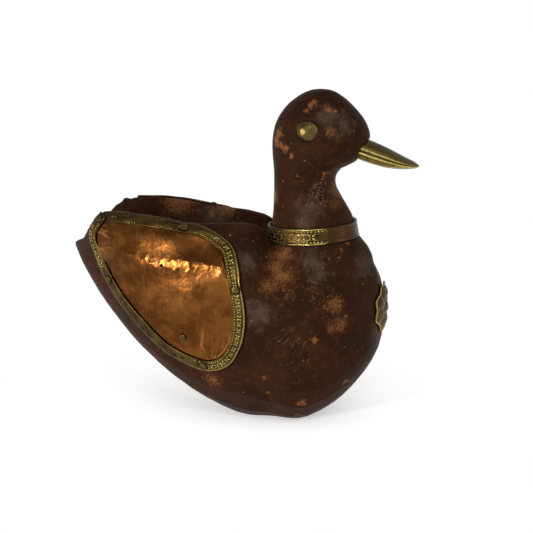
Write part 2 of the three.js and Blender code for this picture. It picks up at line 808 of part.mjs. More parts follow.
// Dowel through the neck joint
function dowelSolid() {
  const r = DOWEL_DIAMETER / 2;
  const end = DOWEL_LENGTH / 2;
  const profile = [
    [0, -end],
    [r - DOWEL_CHAMFER, -end],
    [r, -end + DOWEL_CHAMFER],
    [r, end - DOWEL_CHAMFER],
    [r - DOWEL_CHAMFER, end],
    [0, end],
  ];
  return turned(profile, 28, new Vector3(NECK_X, 0, NECK_SEAT_Z), new Vector3(0, 0, 1));
}

const dowelSocket = turned(
  [
    [0, -DOWEL_LENGTH / 2 - GAP],
    [DOWEL_DIAMETER / 2 + DOWEL_FIT, -DOWEL_LENGTH / 2 - GAP],
    [DOWEL_DIAMETER / 2 + DOWEL_FIT, DOWEL_LENGTH / 2 + GAP],
    [0, DOWEL_LENGTH / 2 + GAP],
  ],
  28,
  new Vector3(NECK_X, 0, NECK_SEAT_Z),
  new Vector3(0, 0, 1),
);

// Assembly

const SIDES = [["right", -1], ["left", 1]];

let bodySolid = hull().subtract(hollow()).add(loft(ovals(rootLevels, 8, 0.5)));
bodySolid = bodySolid.subtract(box(2 * BODY_LENGTH, 2 * BODY_WIDTH, BODY_HEIGHT, [0, 0, -BODY_HEIGHT / 2]));
bodySolid = bodySolid.subtract(neckRoom()).subtract(collarSeat());
bodySolid = bodySolid.subtract(dowelSocket).subtract(rosetteSeat());
for (const hole of [...wingHoles(-1), ...wingHoles(1), ...rosetteHoles]) {
  bodySolid = bodySolid.subtract(hole);
}

let headSolid = loft(ovals(headLevels, HEAD_RINGS, HEAD_WIDEST));
headSolid = headSolid.subtract(dowelSocket).subtract(collarSeat()).subtract(beakSolid(GAP));
for (const hole of [...eyeHoles(-1), ...eyeHoles(1)]) headSolid = headSolid.subtract(hole);

let rosette = rosetteSolid();
for (const hole of rosetteHoles) rosette = rosette.subtract(hole);

const FINISH = {
  wood: { color: 0x4a2a1c, roughness: 0.5, metalness: 0 },
  copper: { color: 0xb8693a, roughness: 0.38, metalness: 1 },
  brass: { color: 0xa88a45, roughness: 0.42, metalness: 1 },
};

const duck = new THREE.Group();
duck.name = "duck";

function place(name, solid, finish) {
  const made = geometryOf(solid.simplify(FINEST));
  const mesh = new THREE.Mesh(made, new THREE.MeshStandardMaterial(FINISH[finish]));
  mesh.name = name;
  duck.add(mesh);
}

place("body", bodySolid, "wood");
place("head", headSolid, "wood");
place("neck_dowel", dowelSolid(), "wood");
place("beak", beakSolid(0), "brass");
place("collar", collarSolid(), "brass");
place("breast_rosette", rosette, "brass");
for (const { pin, foot, direction } of rosettePins) {
  const made = nail(
    SMALL_PIN_HEAD_DIAMETER,
    SMALL_PIN_HEAD_HEIGHT,
    SMALL_PIN_DIAMETER,
    SMALL_PIN_LENGTH,
    10,
    foot,
    direction,
  );
  place(`rosette_pin_${pin}`, made, "brass");
}

for (const [name, side] of SIDES) {
  place(`eye_${name}`, eyeSolid(side), "brass");
  let copper = sheet(side);
  let strip = edging(side);
  for (const hole of wingHoles(side)) {
    copper = copper.subtract(hole);
    strip = strip.subtract(hole);
  }
  if (name === "right") {
    const spot = spotAt(SHEET_HOLE);
    const foot = sided(lifted(spot, 0), side);
    copper = copper.subtract(bore(SHEET_HOLE_DIAMETER, 0, 3, foot, sided(outward(...spot), side)));
  }
  place(`wing_sheet_${name}`, copper, "copper");
  place(`wing_edging_${name}`, strip, "brass");
  for (const { pin, foot, direction } of wingPins(side)) {
    const made = nail(PIN_HEAD_DIAMETER, PIN_HEAD_HEIGHT, PIN_DIAMETER, PIN_LENGTH, 10, foot, direction);
    place(`wing_pin_${name}_${pin}`, made, "brass");
  }
}

export default duck;
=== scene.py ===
# %% [markdown]
# # A carved wooden duck with copper wings
# The duck is an old shelf ornament: two blocks of dark stained wood, a hammered copper sheet on each
# flank with stamped brass strip nailed round it, and a brass beak, eyes, collar and breast rosette.
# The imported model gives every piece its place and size. Blender only gives the pieces their surfaces,
# so each new piece is made on the same lines, in the same frame, and then stands for its plain solid.

# %% Load the frame
import math

import bmesh
import bpy
import numpy as np
from mathutils import Matrix, Quaternion, Vector, kdtree, noise


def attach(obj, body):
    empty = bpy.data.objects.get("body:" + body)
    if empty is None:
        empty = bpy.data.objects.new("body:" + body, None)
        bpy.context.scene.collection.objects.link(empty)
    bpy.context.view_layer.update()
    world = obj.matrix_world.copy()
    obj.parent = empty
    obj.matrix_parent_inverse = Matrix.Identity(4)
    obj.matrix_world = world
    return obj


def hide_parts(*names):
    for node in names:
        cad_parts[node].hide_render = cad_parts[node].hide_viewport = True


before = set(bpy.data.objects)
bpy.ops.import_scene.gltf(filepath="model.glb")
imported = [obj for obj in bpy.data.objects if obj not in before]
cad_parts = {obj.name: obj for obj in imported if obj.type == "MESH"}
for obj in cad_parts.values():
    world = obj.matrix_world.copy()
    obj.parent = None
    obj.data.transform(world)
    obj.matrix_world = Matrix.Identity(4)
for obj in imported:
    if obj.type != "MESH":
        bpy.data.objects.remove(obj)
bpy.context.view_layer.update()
MM = 0.001

# %% [markdown]
# ## Camera
# The photograph was taken from the duck's right, a little ahead of it and a little above. A camera can
# be placed by eye, but here its angle, its distance and the size of a pixel at the duck are known, so
# the lens follows from them. A long lens at this distance keeps the perspective as gentle as it was.

# %% Camera at the photograph's angle
IMAGE_SIDE = 533
AZIMUTH = math.radians(12)
ELEVATION = math.radians(13)
DISTANCE = 0.9
TARGET = Vector((-0.007, 0, 0.097))
PIXEL = 0.65 * MM
SENSOR = 36


def link(name, data):
    """A new object at the world's origin, in the scene."""
    made = bpy.data.objects.new(name, data)
    bpy.context.scene.collection.objects.link(made)
    return made


def towards(azimuth, elevation):
    """The direction from the duck to a place round it; azimuth 0 is the duck's right side."""
    level = math.cos(elevation)
    return Vector((math.sin(azimuth) * level, -math.cos(azimuth) * level, math.sin(elevation)))


def aim(thing, direction, distance, roll=0.0):
    """Places a camera or lamp in a direction from the target, facing it, and rolls it about that line."""
    thing.location = TARGET + direction * distance
    thing.rotation_mode = "QUATERNION"
    level = (-direction).to_track_quat("-Z", "Y")
    thing.rotation_quaternion = level @ Quaternion((0, 0, 1), roll)


camera = link("camera", bpy.data.cameras.new("camera"))
aim(camera, towards(AZIMUTH, ELEVATION), DISTANCE)
camera.data.sensor_width = SENSOR
camera.data.lens = SENSOR * DISTANCE / (IMAGE_SIDE * PIXEL)
bpy.context.scene.camera = camera
bpy.context.scene.view_settings.view_transform = "Standard"
print("camera: lens", round(camera.data.lens, 1), "mm")

# %% [markdown]
# ## Two small helpers
# Colours are easiest to think of as the hex values of a screen, but shaders work with linear light, so
# one function turns one into the other. Another adds a node to any tree: it sets the node's own
# settings, and fills each socket with a value or a link. Nearly everything below is built with it.

# %% Colour and node helpers


def colour(text):
    """Linear RGBA of an sRGB hex colour."""
    parts = np.array([int(text[i : i + 2], 16) for i in (1, 3, 5)]) / 255
    linear = np.where(parts <= 0.04045, parts / 12.92, ((parts + 0.055) / 1.055) ** 2.4)
    return (*(float(v) for v in linear), 1.0)


def add(tree, kind, sockets=None, **settings):
    """A new node in a tree; sockets maps an input's name or number to a value or to another output."""
    made = tree.nodes.new(kind)
    for name, value in settings.items():
        setattr(made, name, value)
    for key, value in (sockets or {}).items():
        if isinstance(value, bpy.types.NodeSocket):
            tree.links.new(value, made.inputs[key])
        else:
            made.inputs[key].default_value = value
    return made


print("mid grey is", round(colour("#808080")[0], 3), "in linear light")

# %% [markdown]
# ## Floor and light
# The duck stands on a white sweep in soft light. Copper and brass show what stands round them more than
# their own colour, so the room matters. A narrow strip lamp, low down and slanted like the wing's bend,
# draws the bright band along it. A broad one above the camera gives the wax its grey sheen, and a third
# lights the breast from ahead. The floor keeps the shadow close to the duck and is plain white further
# away.

# %% Floor, world and lamps
FLOOR_SIDE = 30.0
SHADOW_REACH = (0.07, 0.2)
PAPER_LIFT = 0.44

floor_mesh = bpy.data.meshes.new("floor")
half_floor = FLOOR_SIDE / 2
corners = [(-half_floor, -half_floor, 0), (half_floor, -half_floor, 0)]
corners += [(half_floor, half_floor, 0), (-half_floor, half_floor, 0)]
floor_mesh.from_pydata(corners, [], [(0, 1, 2, 3)])
floor = link("floor", floor_mesh)

# White paper, matt, so the eye sees no gloss in it. What the camera or a metal sees of it is lifted to
# white, which the shadow still darkens.
sweep = bpy.data.materials.new("white_paper_sweep")
sweep.use_nodes = True
tree = sweep.node_tree
paper = tree.nodes["Principled BSDF"]
paper.inputs["Base Color"].default_value = colour("#f4f4f2")
paper.inputs["Roughness"].default_value = 0.9
paper.inputs["Specular IOR Level"].default_value = 0.1
where = add(tree, "ShaderNodeTexCoord").outputs["Object"]
reach = add(tree, "ShaderNodeVectorMath", {0: where}, operation="LENGTH").outputs["Value"]
sockets = {"Value": reach, "From Min": SHADOW_REACH[0], "From Max": SHADOW_REACH[1]}
away = add(tree, "ShaderNodeMapRange", sockets, interpolation_type="SMOOTHSTEP").outputs["Result"]
rays = add(tree, "ShaderNodeLightPath").outputs
looked_at = rays["Is Camera Ray"]
for kind in ("Is Glossy Ray", "Is Transmission Ray"):
    looked_at = add(tree, "ShaderNodeMath", {0: looked_at, 1: rays[kind]}, operation="MAXIMUM").outputs[0]
lift = add(tree, "ShaderNodeMath", {0: looked_at, 1: PAPER_LIFT}, operation="MULTIPLY").outputs[0]
paper.inputs["Emission Color"].default_value = (1, 1, 1, 1)
tree.links.new(lift, paper.inputs["Emission Strength"])
share = add(tree, "ShaderNodeMath", {0: looked_at, 1: away}, operation="MULTIPLY").outputs[0]
white = add(tree, "ShaderNodeEmission", {"Color": (1, 1, 1, 1), "Strength": 1.0}).outputs[0]
mixed = add(tree, "ShaderNodeMixShader", {0: share, 1: paper.outputs[0], 2: white}).outputs[0]
tree.links.new(mixed, tree.nodes["Material Output"].inputs["Surface"])
floor_mesh.materials.append(sweep)

HORIZON_LIGHT = 0.72
CEILING_LIGHT = 0.5
CEILING_FROM = (0.1, 0.6)
world = bpy.data.worlds.new("studio")
bpy.context.scene.world = world
world.use_nodes = True
tree = world.node_tree
direction = add(tree, "ShaderNodeTexCoord").outputs["Generated"]
height = add(tree, "ShaderNodeSeparateXYZ", {0: direction}).outputs["Z"]
sockets = {"Value": height, "From Min": CEILING_FROM[0], "From Max": CEILING_FROM[1]}
sockets |= {"To Min": HORIZON_LIGHT, "To Max": CEILING_LIGHT}
strength = add(tree, "ShaderNodeMapRange", sockets, interpolation_type="SMOOTHSTEP").outputs["Result"]
tree.links.new(strength, tree.nodes["Background"].inputs["Strength"])
tree.nodes["Background"].inputs["Color"].default_value = (1, 1, 1, 1)

LAMPS = [
    # name, azimuth, elevation and roll in degrees, distance and size in metres, watts
    ("low_lamp", -29, 2, 43, 0.5, (0.22, 0.036), 1.5),
    ("sheen_lamp", 22, 38, 0, 1.4, (0.6, 0.5), 3.5),
    ("breast_lamp", 82, 22, 0, 1.5, (0.5, 0.8), 2.5),
]
for name, azimuth, elevation, roll, distance, size, watts in LAMPS:
    lamp = bpy.data.lights.new(name, "AREA")
    lamp.shape = "RECTANGLE"
    lamp.size, lamp.size_y = size
    lamp.energy = watts
    direction = towards(math.radians(azimuth), math.radians(elevation))
    aim(link(name, lamp), direction, distance, math.radians(roll))
print("lamps:", [row[0] for row in LAMPS])

# %% [markdown]
# ## Stained, waxed wood
# The wood is a close-grained hardwood, stained a dark red-brown, waxed and handled for decades. The eye
# reads a cloudy stain, a scuffed breast, patches rubbed to a yellow brown, grey bloom on the wax, chips
# down to tan wood, small pits and pale flecks. The grey bloom is laid where the light's sheen falls, so it
# is partly painted sheen. Each pit has a pale rim painted as a highlight and a dark middle painted as
# shade, and next to the metal the wood is darkened by painted shade with some dirt. Clouds and flecks are
# noise at sizes measured on the wood. What belongs to a place comes with the mesh as an attribute, and
# noise roughens its edge. The colours are laid one over another.

# %% Fields, layers and finish
DULLED_BY = 0.4  # how much rougher a place is where the layer that dulls it is whole


def new_material(name):
    """An empty material with its tree, its shader and the piece's own coordinates."""
    made = bpy.data.materials.new(name)
    made.use_nodes = True
    tree = made.node_tree
    where = add(tree, "ShaderNodeTexCoord").outputs["Object"]
    return made, tree, tree.nodes["Principled BSDF"], where


def add_fields(tree, fields, noises, carried):
    """Adds what colours can follow: noise, and values that the mesh carries with noise added to them.

    A noise has a name, coordinates, a size, a detail and a roughness. A carried value has a name, the
    field that roughens it and how much of it.
    """
    for name, vector, size, detail, roughness in noises:
        sockets = {"Vector": vector, "Scale": 1 / size, "Detail": detail, "Roughness": roughness}
        fields[name] = add(tree, "ShaderNodeTexNoise", sockets).outputs[0]
    for name, rough_by, much in carried:
        value = add(tree, "ShaderNodeAttribute", attribute_name=name).outputs["Fac"]
        sockets = {0: fields[rough_by], 1: much, 2: value}
        fields[name] = add(tree, "ShaderNodeMath", sockets, operation="MULTIPLY_ADD").outputs[0]


def layered(tree, fields, ground, layers):
    """Colours laid over a ground: each layer comes in as its field goes from low to high."""
    top = colour(ground)
    shares = {}
    for field, low, high, most, tint in layers:
        sockets = {"Value": fields[field], "From Min": low, "From Max": high, "To Max": most}
        share = add(tree, "ShaderNodeMapRange", sockets, interpolation_type="SMOOTHSTEP").outputs["Result"]
        top = add(tree, "ShaderNodeMix", {0: share, 6: top, 7: colour(tint)}, data_type="RGBA").outputs[2]
        shares[field] = share
    return top, shares


def set_finish(tree, shader, base, grain, roughness, dull, relief, strength, depth):
    """Gives a shader its colour, a sheen that follows a grain and is lost where a layer dulls it, and a
    fine relief: the grain with some of other fields added."""
    tree.links.new(base, shader.inputs["Base Color"])
    sockets = {"Value": grain, "From Min": 0.3, "From Max": 0.7}
    sockets |= {"To Min": roughness[0], "To Max": roughness[1]}
    sheen = add(tree, "ShaderNodeMapRange", sockets).outputs["Result"]
    matt = add(tree, "ShaderNodeMath", {0: dull, 1: DULLED_BY, 2: sheen}, operation="MULTIPLY_ADD")
    tree.links.new(matt.outputs[0], shader.inputs["Roughness"])
    height = grain
    for field, much in relief:
        sockets = {0: field, 1: much, 2: height}
        height = add(tree, "ShaderNodeMath", sockets, operation="MULTIPLY_ADD").outputs[0]
    bump = add(tree, "ShaderNodeBump", {"Height": height, "Strength": strength, "Distance": depth})
    tree.links.new(bump.outputs[0], shader.inputs["Normal"])


print("full dullness adds", DULLED_BY, "to the roughness")

# %% Wood material
CLOUD = 24 * MM
MOTTLE = 5 * MM
FLECK = 2.6 * MM
CRUMB = 1.7 * MM
PIT = 2.6 * MM
SCUFF = 0.9 * MM  # real scuffs are near 0.3 mm wide; they are drawn coarser so that they show
SCUFF_RUN = 6
SCUFF_TURN = (0.0, math.radians(38), 0.0)
WAX_ROUGHNESS = (0.48, 0.66)


def waxed_wood():
    """Dark stain with its clouds, wear and chips: a dull wax sheen, and rough where the wood is bare."""
    made, tree, shader, where = new_material("stained_waxed_hardwood")
    sockets = {"Vector": where, "Rotation": SCUFF_TURN, "Scale": (1, 1, SCUFF_RUN)}
    combed = add(tree, "ShaderNodeMapping", sockets, vector_type="TEXTURE").outputs[0]
    cells = add(tree, "ShaderNodeTexVoronoi", {"Vector": where, "Scale": 1 / PIT})
    fields = {"cell": cells.outputs["Distance"]}
    noises = [("cloud", where, CLOUD, 5.0, 0.55), ("mottle", where, MOTTLE, 8.0, 0.68)]
    noises += [("fleck", where, FLECK, 2.0, 0.5), ("crumb", where, CRUMB, 6.0, 0.7)]
    noises += [("scratch", combed, SCUFF, 3.0, 0.55)]
    carried = [("scuff", "scratch", 1.0), ("rub", "scratch", 1.3), ("bare", "crumb", 2.0)]
    carried += [("grime", "mottle", 0.6), ("bloom", "mottle", 1.6), ("pitted", "cell", -1.0)]
    add_fields(tree, fields, noises, carried)
    layers = [
        ("cloud", 0.36, 0.64, 1.0, "#31190e"),
        ("mottle", 0.48, 0.7, 0.7, "#472613"),
        # grey wax bloom laid where the light's sheen falls: partly painted sheen
        ("bloom", 1.1, 1.8, 0.55, "#524338"),
        ("scuff", 0.82, 0.97, 0.5, "#6a4830"),
        ("rub", 0.8, 1.42, 0.82, "#7a4f2c"),
        ("crumb", 0.52, 0.7, 0.55, "#1f0f08"),
        ("bare", 1.3, 1.7, 0.85, "#784a2a"),
        ("bare", 1.8, 2.1, 0.6, "#966440"),
        ("fleck", 0.72, 0.77, 0.6, "#806a54"),
        # each pit: a pale rim painted as a highlight, then a dark middle painted as shade
        ("pitted", 0.1, 0.28, 0.5, "#6e5040"),
        ("pitted", 0.32, 0.46, 0.95, "#140906"),
        # painted shade, with some dirt, where the wood meets the metal
        ("grime", 0.6, 1.2, 0.9, "#160d08"),
    ]
    stain, shares = layered(tree, fields, "#24130a", layers)
    shader.inputs["Specular IOR Level"].default_value = 0.1
    shader.inputs["Specular Tint"].default_value = colour("#d0a888")
    relief = [(fields["scratch"], 0.4), (shares["pitted"], -1.5)]
    set_finish(tree, shader, stain, fields["mottle"], WAX_ROUGHNESS, shares["bare"], relief, 0.6, 0.3 * MM)
    return made


WOOD = waxed_wood()
print("material:", WOOD.name, len(WOOD.node_tree.nodes), "nodes")

# %% [markdown]
# ## Copper and brass
# Both metals are old and unlacquered. The copper sheet has gone brown in clouds and streaks, and is only
# bright where the bend catches the light. The brass was stamped, so handling keeps its raised parts
# bright while dirt and tarnish stay in the ground: the mesh says how far a place is raised, how dirty it
# is and where old wax covers it. The same values also carry painted highlights on the beak's lip and the
# collar's front, and painted shade along the copper's edge under the strip and round the pins. A metal's
# colour is its reflection, so it is fully metallic, and only a little less where dirt and painted shade
# cover it.

# %% Metal materials
TARNISH_CLOUD = 13 * MM
TARNISH_SPECK = 2.4 * MM
STREAK = 1.5 * MM
# the colour of dirt, and of painted shade at the copper's hidden edge and round the pins
DIRT_AND_SHADE_COLOUR = "#2a1a0c"
DIRT_AND_SHADE_COVER = 0.15
OLD_WAX = "#472c1a"


def old_metal(name, ground, layers, roughness, streak_run, dirt_and_shade_from):
    """Tarnished metal: layers of colour over its ground, with dirt and painted shade on top."""
    made, tree, shader, where = new_material(name)
    drawn_out = add(tree, "ShaderNodeMapping", {"Vector": where, "Scale": streak_run}).outputs[0]
    fields = {}
    noises = [("cloud", where, TARNISH_CLOUD, 5.0, 0.6), ("speck", where, TARNISH_SPECK, 5.0, 0.62)]
    noises += [("streak", drawn_out, STREAK, 3.0, 0.5)]
    carried = [("raised", "speck", 0.9), ("grime", "speck", 0.9), ("waxed", "speck", 0.6)]
    add_fields(tree, fields, noises, carried)
    layers = layers + [("waxed", 0.6, 1.3, 0.75, OLD_WAX), ("grime", *dirt_and_shade_from, 0.92, DIRT_AND_SHADE_COLOUR)]
    metal, shares = layered(tree, fields, ground, layers)
    sockets = {0: shares["grime"], 1: -DIRT_AND_SHADE_COVER, 2: 1.0}
    clean = add(tree, "ShaderNodeMath", sockets, operation="MULTIPLY_ADD").outputs[0]
    tree.links.new(clean, shader.inputs["Metallic"])
    relief = [(fields["streak"], 0.3)]
    set_finish(tree, shader, metal, fields["speck"], roughness, shares["grime"], relief, 0.35, 0.15 * MM)
    return made


# Copper browned with age and smooth from the hammer: dark, with a sharp warm light where it bends.
COPPER = old_metal(
    "browned_beaten_copper",
    "#533014",
    [
        ("cloud", 0.4, 0.62, 1.0, "#734620"),
        ("speck", 0.5, 0.72, 0.5, "#4c2a12"),
        ("streak", 0.5, 0.7, 0.22, "#8a5a28"),
        ("raised", 0.9, 1.4, 0.9, "#9c6232"),
    ],
    (0.17, 0.3),
    (1, 1, 0.1),
    (0.85, 1.3),
)
# Brass with tarnish in the ground of its stamps: brown, with dull yellow where it stands up.
BRASS = old_metal(
    "tarnished_stamped_brass",
    "#42311a",
    [
        ("cloud", 0.4, 0.62, 0.8, "#5a4725"),
        ("raised", 0.55, 1.3, 1.0, "#b29c55"),
        ("speck", 0.5, 0.66, 0.6, "#352913"),
    ],
    (0.28, 0.44),
    (1, 1, 1),
    (0.85, 1.4),
)
# Brass filed along its length and never stamped: an even olive yellow with faint lines.
FILED_BRASS = old_metal(
    "dull_filed_brass",
    "#58482a",
    [
        ("cloud", 0.4, 0.65, 0.7, "#6d5c36"),
        ("streak", 0.5, 0.7, 0.5, "#6f5f34"),
        # yellow on the beak's ridge, and on its lower lip as a painted highlight
        ("raised", 0.6, 1.3, 1.0, "#bda85e"),
    ],
    (0.28, 0.44),
    (0.08, 1, 1),
    (0.85, 1.4),
)
print("materials:", COPPER.name, BRASS.name, FILED_BRASS.name)

# %% [markdown]
# ## Lines of the flank
# The wing sheet, its edging and its pins all lie on the flank of the body, so they need that surface
# itself. It is drawn by stations from tail to breast, each with a keel, a beam where the body is
# widest, and a rim. A smooth curve runs through each of the three, and two arcs join them at any place
# along the body. Ray-casting onto the carved mesh would work too, but a formula gives smooth slopes.
# Lengths are in millimetres from here on.

# %% Stations and smooth curves
BODY_LENGTH = 209
BODY_WIDTH = 96
BODY_HEIGHT = 134.5
ORIGIN_ALONG = 0.66
LOWER_FULLNESS = 0.7
KEEL = [(0, 0.788), (0.043, 0.684), (0.115, 0.524), (0.25, 0.29), (0.411, 0.09), (0.56, -0.013)]
KEEL += [(0.66, -0.013), (0.746, -0.013), (0.837, 0.06), (0.91, 0.17), (0.978, 0.335), (1, 0.535)]
BEAM = [(0, 0, 0.796), (0.043, 0.25, 0.788), (0.12, 0.52, 0.75), (0.25, 0.81, 0.7), (0.411, 0.96, 0.69)]
BEAM += [(0.59, 1, 0.71), (0.675, 1, 0.6), (0.756, 0.98, 0.48), (0.852, 0.875, 0.46)]
BEAM += [(0.923, 0.646, 0.476), (0.978, 0.333, 0.52), (1, 0, 0.543)]
RIM = [(0, 0, 0.803), (0.048, 0.27, 0.84), (0.124, 0.48, 0.985), (0.25, 0.65, 1.001), (0.42, 0.69, 0.968)]
RIM += [(0.617, 0.37, 0.948), (0.675, 0.396, 0.855), (0.766, 0.438, 0.833), (0.861, 0.25, 0.833)]
RIM += [(0.923, 0, 0.822), (0.974, 0, 0.72), (1, 0, 0.55)]
# How the flank goes from beam to rim: degrees it leans at the rim, how soon it leaves the upright, and
# how far the rim's slope is carried down.
TOP = [(60, 0.42, 0.42), (20, 0.42, 0.42), (50, 0.16, 0.3), (72, 0.08, 0.26), (74, 0.2, 0.28)]
TOP += [(70, 0.44, 0.36), (58, 0.3, 0.4), (60, 0.42, 0.42), (75, 0.42, 0.42)] + [(90, 0.42, 0.42)] * 3


def drawn(rows):
    """Shares of the body's length, half width and height, as points in millimetres."""
    rows = np.array(rows, float)
    if rows.shape[1] == 2:
        rows = np.insert(rows, 1, 0, axis=1)
    return (rows - (ORIGIN_ALONG, 0, 0)) * (BODY_LENGTH, BODY_WIDTH / 2, BODY_HEIGHT)


def smooth_line(points):
    """A centripetal curve through points, as a function of 0 to 1 with an equal share for each span."""
    points = np.asarray(points, float)
    spans = len(points) - 1
    ends = np.vstack([2 * points[0] - points[1], points, 2 * points[-1] - points[-2]])

    def at(u):
        along = np.asarray(u, float) * spans
        i = np.clip(along.astype(int), 0, spans - 1)
        w = (along - i)[..., None]
        a, b, c, d = (ends[i + k] for k in range(4))
        pairs = ((a, b), (b, c), (c, d))
        ab, bc, cd = (np.sqrt(np.linalg.norm(q - p, axis=-1, keepdims=True)) for p, q in pairs)
        start = ((b - a) / ab - (c - a) / (ab + bc) + (c - b) / bc) * bc
        end = ((c - b) / bc - (d - b) / (bc + cd) + (d - c) / cd) * bc
        bend, twist = 3 * (c - b) - 2 * start - end, 2 * (b - c) + start + end
        return b + w * (start + w * (bend + w * twist))

    return at


keel_line, beam_line, rim_line = (smooth_line(drawn(rows)) for rows in (KEEL, BEAM, RIM))
print("beam is", round(float(beam_line(0.5)[1]), 1), "mm from the middle at half way")

# %% The flank and places on it
STEP = 1e-4
MOVE_STEPS = 6


def arc(p, q, r, s, t):
    """A point of the cubic arc with these four corners."""
    t = t[..., None]
    k = 1 - t
    return k**3 * p + 3 * k * k * t * q + 3 * k * t * t * r + t**3 * s


def flank(u, v):
    """Points of the left flank, in millimetres: u from tail to breast and v from keel to rim."""
    u, v = np.broadcast_arrays(np.asarray(u, float), np.asarray(v, float))
    keel, beam, rim = keel_line(u), beam_line(u), rim_line(u)
    across, up = np.array((0, 1, 0)), np.array((0, 0, 1))
    out = keel + across * beam[..., 1:2] * LOWER_FULLNESS
    under = beam + up * (keel - beam)[..., 2:] * LOWER_FULLNESS
    lower = arc(keel, out, under, beam, np.clip(v * 2, 0, 1))
    stations = range(len(TOP))
    lean, upright, carried = (np.interp(u * (len(TOP) - 1), stations, row)[..., None] for row in zip(*TOP))
    lean = np.radians(lean)
    pull = carried * np.linalg.norm(rim - beam, axis=-1, keepdims=True)
    above = beam + up * (rim - beam)[..., 2:] * upright
    below = rim + pull * (across * np.sin(lean) - up * np.cos(lean))
    upper = arc(beam, above, below, rim, np.clip(v * 2 - 1, 0, 1))
    return np.where((v < 0.5)[..., None], lower, upper)


def slopes(u, v):
    """How a place on the flank moves with u and with v."""
    du = (flank(u + STEP, v) - flank(u - STEP, v)) / (2 * STEP)
    dv = (flank(u, v + STEP) - flank(u, v - STEP)) / (2 * STEP)
    return du, dv


def unit(rows):
    """Rows of directions, each made one long."""
    return rows / np.linalg.norm(rows, axis=-1, keepdims=True)


def surface(u, v):
    """Places on the flank, and the way straight out of it there."""
    du, dv = slopes(u, v)
    return flank(u, v), unit(np.cross(dv, du))


def share_at(value, grown):
    """The share, from 0 to 1, at which something that grows comes to a value."""
    share = np.full(np.shape(value), 0.5)
    step = 0.25
    while step > 1e-7:
        share = share + np.where(grown(share) < value, step, -step)
        step /= 2
    return share


def spot_at(places):
    """The flank's u and v at places seen from the side, as x and z in millimetres."""
    x, z = np.asarray(places, float).T
    v = np.full(len(x), 0.5)
    for _ in range(10):
        held = v
        u = share_at(x, lambda share: flank(share, held)[:, 0])
        v = share_at(z, lambda share: flank(u, share)[:, 2])
    return u, v


def moved(u, v, step):
    """The u and v reached by going along the surface, in short steps."""
    for _ in range(MOVE_STEPS):
        du, dv = slopes(u, v)
        uu, uv, vv = (np.sum(a * b, -1) for a, b in ((du, du), (du, dv), (dv, dv)))
        su, sv = (np.sum(way * step, -1) / MOVE_STEPS for way in (du, dv))
        det = uu * vv - uv * uv
        u = u + (su * vv - sv * uv) / det
        v = np.minimum(v + (sv * uu - su * uv) / det, 1 - 2 * STEP)
    return u, v


check = spot_at([(-62, 90)])
print("a place on the flank comes back at", np.round(flank(*check)[0], 2))

# %% [markdown]
# ## From rings of points to a piece
# Most pieces here are skins over rings of points: a strip is a row of cross-sections, a dome is a stack
# of circles. One function closes such rings into a mesh and turns it to face outwards. Others give a
# point a value that a material can read, settle a modifier into plain mesh, and hand a finished piece
# to the frame.

# %% Mesh helpers


def skin(name, rings, metal, **values):
    """A closed piece over rings of points in millimetres, with a named value for each point."""
    rings = np.asarray(rings, float)
    count, n = rings.shape[:2]
    r, k = np.meshgrid(np.arange(count - 1), np.arange(n), indexing="ij")
    a, b = r * n + k, r * n + (k + 1) % n
    quads = np.stack([a, b, b + n, a + n], -1).reshape(-1, 4)
    points = rings.reshape(-1, 3)
    p, q, s, t = (points[quads[:, i]] for i in range(4))
    inside = np.sum(p * np.cross(q, s)) + np.sum(p * np.cross(s, t))
    faces = quads.tolist() + [list(range(n))[::-1], list(range((count - 1) * n, count * n))]
    if inside < 0:
        faces = [face[::-1] for face in faces]
    mesh = bpy.data.meshes.new(name)
    mesh.from_pydata((points * MM).tolist(), [], faces)
    mesh.materials.append(metal)
    mesh.shade_smooth()
    for key, value in values.items():
        set_value(mesh, key, np.broadcast_to(value, rings.shape[:2]).ravel())
    return link(name, mesh)


def set_value(mesh, name, value):
    """Gives every point of a mesh a number that materials can read."""
    layer = mesh.attributes.get(name) or mesh.attributes.new(name, "FLOAT", "POINT")
    layer.data.foreach_set("value", np.ascontiguousarray(value, np.float32))


def points_of(mesh, source="vertices", field="co"):
    """The places or normals of a mesh's points as rows."""
    rows = np.empty(len(mesh.vertices) * 3, np.float32)
    getattr(mesh, source).foreach_get(field, rows)
    return rows.reshape(-1, 3).astype(float)


def settle(piece):
    """Makes what the modifiers give the piece's own mesh, and removes them."""
    bpy.context.view_layer.update()
    graph = bpy.context.evaluated_depsgraph_get()
    made = bpy.data.meshes.new_from_object(piece.evaluated_get(graph))
    piece.modifiers.clear()
    piece.data = made


def hand_over(piece, slot, *stands_for):
    """A finished piece rides on the duck and stands for its plain solids; the slot is not used."""
    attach(piece, "root")
    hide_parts(*stands_for)
    print(piece.name, len(piece.data.polygons), "faces")


def rough(points, size, shift=0.0):
    """Smooth noise from -1 to 1 at points in millimetres, with features of a size."""
    return np.array([noise.noise(Vector(p)) for p in points / size + shift])


def smoothstep(value, low, high):
    """0 up to low, 1 from high on, and a smooth rise between them."""
    t = np.clip((value - low) / (high - low), 0, 1)
    return t * t * (3 - 2 * t)


print("noise at one point:", round(float(rough(np.array([[1.0, 2.0, 3.0]]), 5)[0]), 3))

# %% [markdown]
# ## Stamps and pins
# The strips were run under punches, and the pins are all of one kind: the same small shapes, set out
# along a path. That is work for Geometry Nodes. One tree serves them all: it takes a plain strip, an
# object whose points are the places, and a stamp, and sets a stamp at each place, turned so that it
# stands off the surface and follows the path. A little unevenness keeps it from looking machine-made.

# %% Tree that sets stamps along a path


